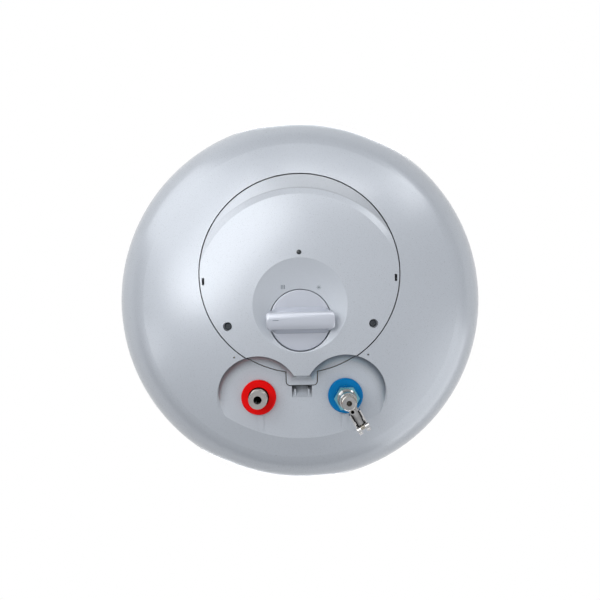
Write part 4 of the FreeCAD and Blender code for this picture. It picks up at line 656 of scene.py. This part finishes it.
def bend(geometry, radius, angle, height):
    """Moves every point to a radius, an angle and a height round the Z axis."""
    place = out(geometry.tree, "ShaderNodeCombineXYZ", {
        "X": radius * angle.do("COSINE"), "Y": radius * angle.do("SINE"), "Z": height})
    return out(geometry.tree, "GeometryNodeSetPosition", {"Geometry": geometry, "Position": place})


def shift(geometry, place, turn=(0.0, 0.0, 0.0)):
    """Turns geometry and moves it to a place."""
    return out(geometry.tree, "GeometryNodeTransform", {
        "Geometry": geometry, "Translation": place, "Rotation": turn})


def lift(geometry, height):
    """Moves geometry up."""
    return shift(geometry, out(geometry.tree, "ShaderNodeCombineXYZ", {"Z": height}))


def tube(curve, radius, sides):
    """Capped wire of a radius along a curve."""
    ring = out(curve.tree, "GeometryNodeCurvePrimitiveCircle", {"Resolution": sides, "Radius": radius})
    return out(curve.tree, "GeometryNodeCurveToMesh", {
        "Curve": curve, "Profile Curve": ring, "Fill Caps": True})


def thread_tree():
    """Pipe end: a bored tube whose outside carries a thread from its tip up to Thread End."""
    tree, (crest, depth, pitch, bore, tip, end, top, pipe, rows, sides, centre, material) = new_tree(
        "Threaded pipe", Float=["Crest", "Depth", "Pitch", "Bore", "Tip", "Thread End", "Top", "Pipe"],
        Int=["Rows", "Sides"], Vector=["Centre"])
    lattice = out(tree, "GeometryNodeMeshGrid", {
        "Size X": 1.0, "Size Y": 1.0, "Vertices X": sides + 1.0, "Vertices Y": rows + 4.0})
    across, along, _ = out(tree, "GeometryNodeInputPosition").parts()
    angle = (across + 0.5) * math.tau
    row = ((along + 0.5) * (rows + 3.0)).do("ROUND")
    threaded = row < rows - 0.5
    at_top = (row < rows + 1.5) - threaded
    height = row / (rows - 1.0) * (end - tip) * threaded + (top - tip) * at_top
    groove = thread_wave(height, pitch, angle).spread(0.88, 0.12)
    fade = ((end - tip - height) / pitch).spread(0.3, 1.6) * threaded
    lead = (height / pitch).spread(0.0, 0.7)
    cut = (groove * fade * depth).do("MAXIMUM", (1.0 - lead) * (depth * 0.9))
    outer = crest - cut + row.do("COMPARE", rows, 0.25) * (pipe - crest)
    bored = (row > rows + 0.5) * (row < rows + 2.5)
    shaped = bend(lattice, outer + bored * (bore - outer), angle, height + tip)
    welded = out(tree, "GeometryNodeMergeByDistance", {"Geometry": shaped, "Distance": WELD})
    return close_tree(tree, shift(welded, centre), material)


def spring_tree():
    """Compression spring along +Z with closed ends, then turned and placed."""
    tree, (wire, radius, reach, turns, centre, turn, material) = new_tree(
        "Coil spring", Float=["Wire", "Radius", "Length", "Turns"], Vector=["Centre", "Turn"])
    line = out(tree, "GeometryNodeCurvePrimitiveLine", {"Start": (0.0, 0.0, 0.0), "End": (0.0, 0.0, 1.0)})
    steps = out(tree, "GeometryNodeResampleCurve", {"Curve": line, "Count": turns * 18.0})
    wound = out(tree, "GeometryNodeInputPosition").parts()[2] * turns
    height = wound.spread(0.7, turns - 0.7) * (reach - wire) + wire * 0.5
    coil = bend(steps, radius, wound * math.tau, height)
    return close_tree(tree, shift(tube(coil, wire * 0.5, 10), centre, turn), material)


def screw_tree():
    """Row of cross-recessed screws, heads down and shanks up."""
    tree, (head, thick, shank, reach, recess, count, start, offset, material) = new_tree(
        "Cross-recessed screws", Float=["Head", "Head Height", "Shank", "Shank Length", "Recess"],
        Int=["Count"], Vector=["Start", "Offset"])
    half = thick * 0.5
    crown, rim = (out(tree, "GeometryNodeMeshCone", {
        "Vertices": 40, "Radius Top": head, "Radius Bottom": below, "Depth": half})
        for below in (head * 0.72, head))
    whole = put(tree, "GeometryNodeMeshBoolean", operation="UNION")
    for part in (lift(crown, thick * -1.0), lift(rim, half * -1.0)):
        tree.links.new(part.socket, whole.inputs["Mesh 2"])
    cross = put(tree, "GeometryNodeMeshBoolean", {"Mesh 1": whole.outputs["Mesh"]}, operation="DIFFERENCE")
    size = out(tree, "ShaderNodeCombineXYZ", {"X": recess * 2.0, "Y": recess * 0.42, "Z": thick * 1.3})
    lowered = out(tree, "ShaderNodeCombineXYZ", {"Z": thick * -1.0})
    for turn in (0.0, math.pi / 2):
        arm = shift(out(tree, "GeometryNodeMeshCube", {"Size": size}), lowered, (0.0, 0.0, turn))
        tree.links.new(arm.socket, cross.inputs["Mesh 2"])
    core = out(tree, "GeometryNodeMeshCylinder", {"Vertices": 20, "Radius": shank * 0.78, "Depth": reach})
    path = out(tree, "GeometryNodeCurveSpiral", {
        "Resolution": 20, "Rotations": reach / shank, "Start Radius": shank * 0.8,
        "End Radius": shank * 0.8, "Height": reach})
    joined = put(tree, "GeometryNodeJoinGeometry")
    for part in (Value(tree, cross.outputs["Mesh"]), lift(core, reach * 0.5), tube(path, shank * 0.2, 4)):
        tree.links.new(part.socket, joined.inputs[0])
    row = out(tree, "GeometryNodeMeshLine", {"Count": count, "Start Location": start, "Offset": offset})
    screws = out(tree, "GeometryNodeInstanceOnPoints", {"Points": row, "Instance": joined.outputs[0]})
    return close_tree(tree, screws, material)


# Operators

class HEATER_OT_shell(bpy.types.Operator):
    """Finish the casing, caps and service cover"""
    bl_idname = "heater.finish_shell"
    bl_label = "Shell"

    def execute(self, context):
        """Silver-grey mouldings and the painted sheet."""
        colours = context.scene.heater_colours
        dress(silver_plastic("Bottom cap moulding", colours.cap), "bottom_cap")
        dress(silver_plastic("Service cover moulding", colours.cover, cover=True), "service_cover")
        dress(painted_sheet("Painted casing", colours.casing), "outer_casing")
        dress(painted_sheet("Painted top cap", colours.cap), "top_cap")
        return {"FINISHED"}


class HEATER_OT_knob(bpy.types.Operator):
    """Mould the thermostat knob with the crowned crest of its grip bar"""
    bl_idname = "heater.mould_knob"
    bl_label = "Knob"

    def execute(self, context):
        """Disc with hub and bore, and a bar whose crest is an arc across it."""
        sizes = context.scene.heater_knob
        low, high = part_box("thermostat_knob")
        centre = Vector(((low.x + high.x) / 2, (low.y + high.y) / 2))
        face = low.z + sizes.bar_height
        piece = add("grip_knob", self.disc(sizes, centre, face, high.z))
        other = add("knob_bar", self.bar(sizes, centre, face, (high.x - low.x) / 2))
        modifier = piece.modifiers.new("Union", "BOOLEAN")
        modifier.operation = "UNION"
        modifier.solver = "EXACT"
        modifier.object = other
        freeze(piece)
        bpy.data.objects.remove(other)
        piece.data.materials.clear()
        colour = context.scene.heater_colours.knob
        glossy = silver_plastic("Knob moulding", colour, rough=0.24, flake=0.015, wear=0.0, coat=0.8)
        piece.data.materials.append(glossy)
        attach(piece, "knob")
        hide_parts("thermostat_knob")
        return {"FINISHED"}

    def disc(self, sizes, centre, face, top, steps=128, rim_steps=5):
        """Disc with a rounded rim, a hub and a blind bore, turned about a vertical axis."""
        rear = face + sizes.disc
        edge = sizes.radius - sizes.round
        section = [(0.0, face), (edge, face)]
        for step in range(1, rim_steps + 1):
            angle = math.pi / 2 * step / rim_steps
            section.append((edge + sizes.round * math.sin(angle),
                            face + sizes.round * (1 - math.cos(angle))))
        section += [(sizes.radius, rear), (sizes.hub, rear), (sizes.hub, top), (sizes.bore, top),
                    (sizes.bore, face + sizes.disc / 2), (0.0, face + sizes.disc / 2)]
        shape = bmesh.new()
        line = [shape.verts.new((centre.x + radius, centre.y, level)) for radius, level in section]
        edges = [shape.edges.new(pair) for pair in zip(line, line[1:])]
        bmesh.ops.spin(shape, geom=line + edges, cent=(centre.x, centre.y, 0.0), axis=(0.0, 0.0, 1.0),
                       angle=math.tau, steps=steps, use_merge=True)
        return clean_into(bpy.data.meshes.new("knob_disc"), shape)

    def bar(self, sizes, centre, face, reach, steps=10):
        """Grip bar: flanks that lean in to the shoulder, then a crest that is an arc across the bar."""
        shape = bmesh.new()
        half = sizes.crest_width / 2
        shoulder = sizes.bar_height - sizes.crown
        arc = (half ** 2 + sizes.crown ** 2) / (2 * sizes.crown)
        root = (sizes.root_length / 2, sizes.root_width / 2, sizes.corner)
        rings = [self.outline(shape, centre, *root, face + sunk) for sunk in (1.0 * MM, 0.0)]
        for step in range(steps + 1):
            angle = math.asin(half / arc) * (1 - step / steps)
            across = max(arc * math.sin(angle), 0.2 * MM)
            rise = arc * math.cos(angle) - (arc - sizes.crown)
            end = reach - sizes.end_round * (1 - math.sqrt(max(0.0, 1 - (rise / sizes.crown) ** 2)))
            corner = min(sizes.corner, across * 0.95)
            rings.append(self.outline(shape, centre, end, across, corner, face - shoulder - rise))
        skin(shape, rings)
        return clean_into(bpy.data.meshes.new("knob_bar"), shape)

    def outline(self, shape, centre, half_long, half_wide, corner, level, steps=32):
        """Adds the points of one level outline of a bar with rounded corners."""
        points = []
        for index in range(steps):
            angle = (index + 0.5) * math.tau / steps
            x = math.copysign(half_long - corner, math.cos(angle)) + corner * math.cos(angle)
            y = math.copysign(half_wide - corner, math.sin(angle)) + corner * math.sin(angle)
            points.append(shape.verts.new((centre.x + x, centre.y + y, level)))
        return points


class HEATER_OT_metal(bpy.types.Operator):
    """Finish the tank, pipes, valve, bracket and fixings"""
    bl_idname = "heater.finish_metal"
    bl_label = "Metal pieces"

    def execute(self, context):
        """Steel, zinc, brass, copper, magnesium and chrome."""
        cold = (*PIPES["cold"], 0.0)
        dress(steel_tank("Steel tank"), "inner_tank")
        dress(zinc_plated("Zinc plating"), "flange_plate", "wall_bracket")
        dress(plated_threads("Plated studs", (0.58, 0.60, 0.63)),
              "flange_studs", "flange_nuts", "bracket_bolts", "anode_nut")
        dress(chrome("Chrome forging", cold, VALVE_THREAD_TOP, VALVE_NECK), "valve_body", "valve_bonnet")
        dress(chrome("Chrome pressing", cold, -0.7, -0.5, low=0.46, high=0.62), "relief_lever")
        dress(bare_metal("Stainless steel", (0.56, 0.55, 0.53), rough=0.24, centre=cold),
              "lever_pin", "thermostat_sheath", "terminal_screws", "thermostat_spindle")
        dress(bare_metal("Nickelled brass", (0.32, 0.30, 0.26), stain=(0.22, 0.18, 0.12)), "relief_stem")
        dress(bare_metal("Copper", (0.74, 0.36, 0.22), rough=0.32, stain=(0.30, 0.12, 0.07)),
              "thermostat_bulb")
        dress(bare_metal("Heated sheath", (0.40, 0.39, 0.38), rough=0.36, stain=(0.22, 0.17, 0.13)),
              "heating_element")
        dress(bare_metal("Magnesium", (0.46, 0.46, 0.45), rough=0.55, scale=420.0, grain=50), "anode_rod")
        return {"FINISHED"}


class HEATER_OT_plastic(bpy.types.Operator):
    """Finish the collars, controls, seals, wiring, lens and foam"""
    bl_idname = "heater.finish_plastic"
    bl_label = "Plastic, rubber and foam"

    def execute(self, context):
        """Coloured, black and natural plastics."""
        colours = context.scene.heater_colours
        dress(plain_plastic("Red plastic", colours.hot, 0.38, contrast=0.03, Specular_IOR_Level=0.12),
              "hot_collar", "reset_button")
        dress(plain_plastic("Blue plastic", colours.cold, 0.38, contrast=0.04, Specular_IOR_Level=0.12),
              "cold_collar", "neutral_lead")
        # The poppet guide's black is both a dark moulding and painted shade in the valve's bore, seen from
        # below
        dress(plain_plastic("Black plastic", (0.022, 0.022, 0.024), 0.5, contrast=0.2),
              "thermostat_body", "thermal_cutout", "lamp_holder", "wall_spacer", "poppet_guide")
        dress(plain_plastic("Natural plastic", (0.72, 0.69, 0.60), 0.45),
              "terminal_block", "hot_tube", "cold_diffuser", "check_poppet")
        dress(plain_plastic("Grey liner", (0.30, 0.29, 0.285), 0.5, grain=40, contrast=0.15),
              "hot_liner", "cold_liner")
        dress(plain_plastic("Black rubber", (0.03, 0.03, 0.032), 0.75, grain=30, contrast=0.25),
              "flange_gasket", "relief_seal")
        dress(plain_plastic("Brown insulation", (0.16, 0.065, 0.03), 0.4),
              "live_lead", "element_leads", "lamp_leads")
        dress(rigid_foam("Rigid foam", colours.foam), "foam_insulation")
        dress(clear_lens("Dark lens"), "lamp_lens")
        return {"FINISHED"}


class HEATER_OT_threads(bpy.types.Operator):
    """Cut the pipe threads of the hot and cold spigots"""
    bl_idname = "heater.cut_threads"
    bl_label = "Pipe threads"

    def execute(self, context):
        """One threaded tube in place of each spigot."""
        sizes = context.scene.heater_threads
        steel = bare_metal("Galvanised pipe", (0.50, 0.50, 0.49), 0.34, 380.0, stain=(0.33, 0.31, 0.27))
        tree = thread_tree()
        rows_per_turn = 9
        for side, place in PIPES.items():
            low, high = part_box(f"{side}_spigot")
            piece = grow(f"{side}_thread", tree, {
                "Crest": sizes.crest, "Depth": sizes.depth, "Pitch": sizes.pitch, "Bore": sizes.bore,
                "Tip": low.z, "Thread End": low.z + sizes.reach, "Top": high.z,
                "Pipe": (high.x - low.x) / 2, "Rows": int(sizes.reach / sizes.pitch * rows_per_turn),
                "Sides": sizes.sides, "Centre": (*place, 0.0), "Material": steel})
            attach(piece, "heater")
            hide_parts(f"{side}_spigot")
        return {"FINISHED"}


class HEATER_OT_springs(bpy.types.Operator):
    """Wind the two springs of the safety valve"""
    bl_idname = "heater.wind_springs"
    bl_label = "Springs"

    def execute(self, context):
        """Coils in place of the plain sleeves."""
        wire = context.scene.heater_threads.wire
        steel = bare_metal("Spring wire", (0.60, 0.59, 0.57), rough=0.2)
        tree = spring_tree()
        low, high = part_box("check_spring")
        upright = {"Centre": (*PIPES["cold"], low.z), "Turn": (0.0, 0.0, 0.0), "Turns": 8.0,
                   "Length": high.z - low.z, "Radius": (high.x - low.x) / 2 - wire / 2}
        outwards = Vector((math.cos(BRANCH_TURN), math.sin(BRANCH_TURN), 0.0))
        near, far = BRANCH_SPRING
        start = Vector((*PIPES["cold"], BRANCH_LEVEL)) + outwards * near
        low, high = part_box("relief_spring")
        lying = {"Centre": start, "Turn": (0.0, math.pi / 2, BRANCH_TURN), "Turns": 5.5,
                 "Length": far - near, "Radius": (high.z - low.z) / 2 - wire / 2}
        held = (("check_spring", upright, "check_slide", Vector((0.0, 0.0, 1.0)), CHECK_TRAVEL),
                ("relief_spring", lying, "relief_lift", outwards, RELIEF_TRAVEL))
        for node, place, joint, way, travel in held:
            piece = grow(node.replace("spring", "coil"), tree, {"Wire": wire, "Material": steel, **place})
            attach(piece, frame["nodes"][node]["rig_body"])
            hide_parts(node)
            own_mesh(piece)
        return {"FINISHED"}


class HEATER_OT_screws(bpy.types.Operator):
    """Make the two cover screws with their cross recesses"""
    bl_idname = "heater.make_screws"
    bl_label = "Cover screws"

    def execute(self, context):
        """Screws in place of the plain ones, in the cover's wells."""
        low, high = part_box("cover_screws")
        head = context.scene.heater_threads.head
        thick = 2.6 * MM
        seat = low.z + thick
        steel = bare_metal("Blackened screw", (0.10, 0.11, 0.12), rough=0.4)
        piece = grow("cross_screws", screw_tree(), {
            "Count": 2, "Start": (low.x + head, (low.y + high.y) / 2, seat),
            "Offset": (high.x - low.x - 2 * head, 0.0, 0.0), "Head": head, "Head Height": thick,
            "Shank": 1.9 * MM, "Shank Length": high.z - seat, "Recess": 2.3 * MM, "Material": steel})
        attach(piece, "heater")
        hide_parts("cover_screws")
        return {"FINISHED"}


class HEATER_OT_marks(bpy.types.Operator):
    """Print the two temperature marks beside the knob and inlay its pointer"""
    bl_idname = "heater.print_marks"
    bl_label = "Printed marks"

    def execute(self, context):
        """Bars for less heat on the left, a star for more on the right."""
        ink = plain_plastic("Grey ink", context.scene.heater_colours.ink, 0.55, contrast=0.12)
        surface = self.surface(frame["nodes"]["service_cover"])
        shape = bmesh.new()
        half = Vector((0.0, 2.3 * MM))
        for aside in (-1.8 * MM, 0.0, 1.8 * MM):
            middle = KNOB_CENTRE + BAR_MARKS + Vector((aside, 0.0))
            self.stroke(shape, surface, middle - half, middle + half, 0.95 * MM)
        for index in range(4):
            middle = KNOB_CENTRE + STAR_MARK
            ray = Vector((math.cos(index * math.pi / 4), math.sin(index * math.pi / 4))) * 2.7 * MM
            self.stroke(shape, surface, middle - ray, middle + ray, 0.45 * MM, (90 + index * 4) * MICRON)
        marks = self.printed("dial_marks", shape, ink)
        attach(marks, "heater")
        shape = bmesh.new()
        start = KNOB_CENTRE + POINTER
        self.stroke(shape, self.surface(bpy.data.objects["grip_knob"]), start,
                    start + Vector((6.6 * MM, 0.0)), 0.9 * MM, 100 * MICRON)
        pointer = self.printed("knob_pointer", shape, ink)
        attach(pointer, "knob")
        return {"FINISHED"}

    def surface(self, piece):
        """Search tree of an object's surface."""
        mesh = piece.data
        return BVHTree.FromPolygons([v.co for v in mesh.vertices], [p.vertices for p in mesh.polygons])

    def stroke(self, shape, surface, start, end, width, rise=90 * MICRON, sunk=20 * MICRON, steps=6):
        """Adds one printed bar that lies on a surface seen from below."""
        along = (end - start) / steps
        side = Vector((-along.y, along.x)).normalized() * width / 2
        rings = []
        for index in range(steps + 1):
            corners = []
            for way, up in ((-1, 0.0), (1, 0.0), (1, rise), (-1, rise)):
                spot = start + along * index + side * way
                hit = surface.ray_cast(Vector((spot.x, spot.y, -0.8)), Vector((0, 0, 1)))[0]
                if hit is None:
                    raise RuntimeError("a printed mark misses its surface")
                corners.append(shape.verts.new(hit - Vector((0, 0, up - sunk))))
            rings.append(corners)
        skin(shape, rings)

    def printed(self, name, shape, ink):
        """Object of the finished strokes."""
        mesh = clean_into(bpy.data.meshes.new(name), shape)
        mesh.materials.append(ink)
        return add(name, mesh)


class HEATER_OT_studio(bpy.types.Operator):
    """Set the floor, the soft light and the camera under the heater"""
    bl_idname = "heater.set_studio"
    bl_label = "Studio and camera"

    def execute(self, context):
        """Stage for the view from below."""
        studio = context.scene.heater_studio
        self.lay_floor(studio)
        self.light(studio)
        self.aim_camera(studio)
        context.scene.view_settings.view_transform = "Standard"
        return {"FINISHED"}

    def lay_floor(self, studio, reach=12.0):
        """Pale floor well under the heater."""
        mesh = bpy.data.meshes.new("floor")
        corners = [(-reach, -reach), (reach, -reach), (reach, reach), (-reach, reach)]
        mesh.from_pydata([(x, y, studio.floor) for x, y in corners], [], [(0, 1, 2, 3)])
        finish = Finish("Pale floor", Specular_IOR_Level=0.2, Emission_Color=WHITE)
        rays = rays_of(finish.tree)
        back = finish.at.parts()[1].spread(0.4, 2.6, 0.35, 0.1)
        finish.feed("Emission Strength", rays["Is Glossy Ray"] * back + rays["Is Camera Ray"] * 0.5)
        broad = finish.effect(broad_mottling, Scale=1.5)["Shade"]
        pale = broad.mix((0.80, 0.80, 0.81), (0.84, 0.84, 0.85))
        mesh.materials.append(finish.close(pale, broad.to(0.8, 0.9)))
        floor = add("floor", mesh)

    def light(self, studio):
        """White surround for the eye, softer light for the surfaces, and the lamps."""
        world = bpy.data.worlds.new("Studio")
        bpy.context.scene.world = world
        world.use_nodes = True
        tree = world.node_tree
        tree.nodes.clear()
        rays = rays_of(tree)
        seen = rays["Is Camera Ray"].do("MAXIMUM", rays["Is Glossy Ray"])
        seen = seen.do("MAXIMUM", rays["Is Transmission Ray"])
        wall_side = out(tree, "ShaderNodeTexCoord", output="Generated").parts()[1]
        strength = wall_side.spread(-0.2, 0.8, studio.sky, studio.sky * 0.1)
        soft = out(tree, "ShaderNodeBackground", {"Color": (0.97, 0.98, 1.0, 1.0), "Strength": strength})
        white = out(tree, "ShaderNodeBackground", {"Color": WHITE, "Strength": 1.0})
        mixed = out(tree, "ShaderNodeMixShader", {0: seen, 1: soft, 2: white})
        put(tree, "ShaderNodeOutputWorld", {"Surface": mixed})
        for name, turn, tilt, away, width, depth, share in LAMPS:
            turn, tilt = math.radians(turn), math.radians(tilt)
            flat = math.sin(tilt)
            way = Vector((math.cos(turn) * flat, -math.sin(turn) * flat, -math.cos(tilt)))
            data = bpy.data.lights.new(name, "AREA")
            data.shape = "RECTANGLE"
            data.size = width
            data.size_y = depth
            data.energy = studio.key * share
            lamp = add(name, data)
            lamp.location = MIDDLE + way * away
            lamp.rotation_euler = (-way).to_track_quat("-Z", "Y").to_euler()
            lamp.visible_camera = False

    def aim_camera(self, studio):
        """Camera on the heater's axis, looking straight up, with the front of the heater at the top."""
        data = bpy.data.cameras.new("camera")
        data.lens = studio.lens
        data.sensor_width = 36.0
        data.clip_start = 0.05
        data.clip_end = 60.0
        camera = add("camera", data)
        camera.location = (*AXIS, studio.eye)
        camera.rotation_mode = "XYZ"
        camera.rotation_euler = (math.pi, 0.0, studio.roll)
        bpy.context.scene.camera = camera


class HEATER_PT_panel(bpy.types.Panel):
    """Panel that lists the heater's steps and values"""
    bl_label = "Storage Water Heater"
    bl_idname = "HEATER_PT_panel"
    bl_space_type = "VIEW_3D"
    bl_region_type = "UI"
    bl_category = "Heater"

    def draw(self, context):
        """Steps first, then values."""
        for step in STEPS:
            self.layout.operator(step.bl_idname)
        for name in HOLDERS:
            values = getattr(context.scene, name)
            for key in values.__annotations__:
                self.layout.prop(values, key)


STEPS = (HEATER_OT_shell, HEATER_OT_knob, HEATER_OT_metal, HEATER_OT_plastic, HEATER_OT_threads,
         HEATER_OT_springs, HEATER_OT_screws, HEATER_OT_marks, HEATER_OT_studio)
HOLDERS = {"heater_colours": HeaterColours, "heater_threads": HeaterThreads,
           "heater_knob": HeaterKnob, "heater_studio": HeaterStudio}


def register():
    """Adds the add-on's classes and its values on the scene."""
    for name, holder in HOLDERS.items():
        bpy.utils.register_class(holder)
        setattr(bpy.types.Scene, name, PointerProperty(type=holder))
    for step in (*STEPS, HEATER_PT_panel):
        bpy.utils.register_class(step)


def unregister():
    """Takes them away again."""
    for step in reversed((*STEPS, HEATER_PT_panel)):
        bpy.utils.unregister_class(step)
    for name, holder in HOLDERS.items():
        delattr(bpy.types.Scene, name)
        bpy.utils.unregister_class(holder)


def main():
    """Runs every step in order."""
    register()
    for step in STEPS:
        family, action = step.bl_idname.split(".")
        getattr(getattr(bpy.ops, family), action)()


if __name__ == "__main__":
    main()
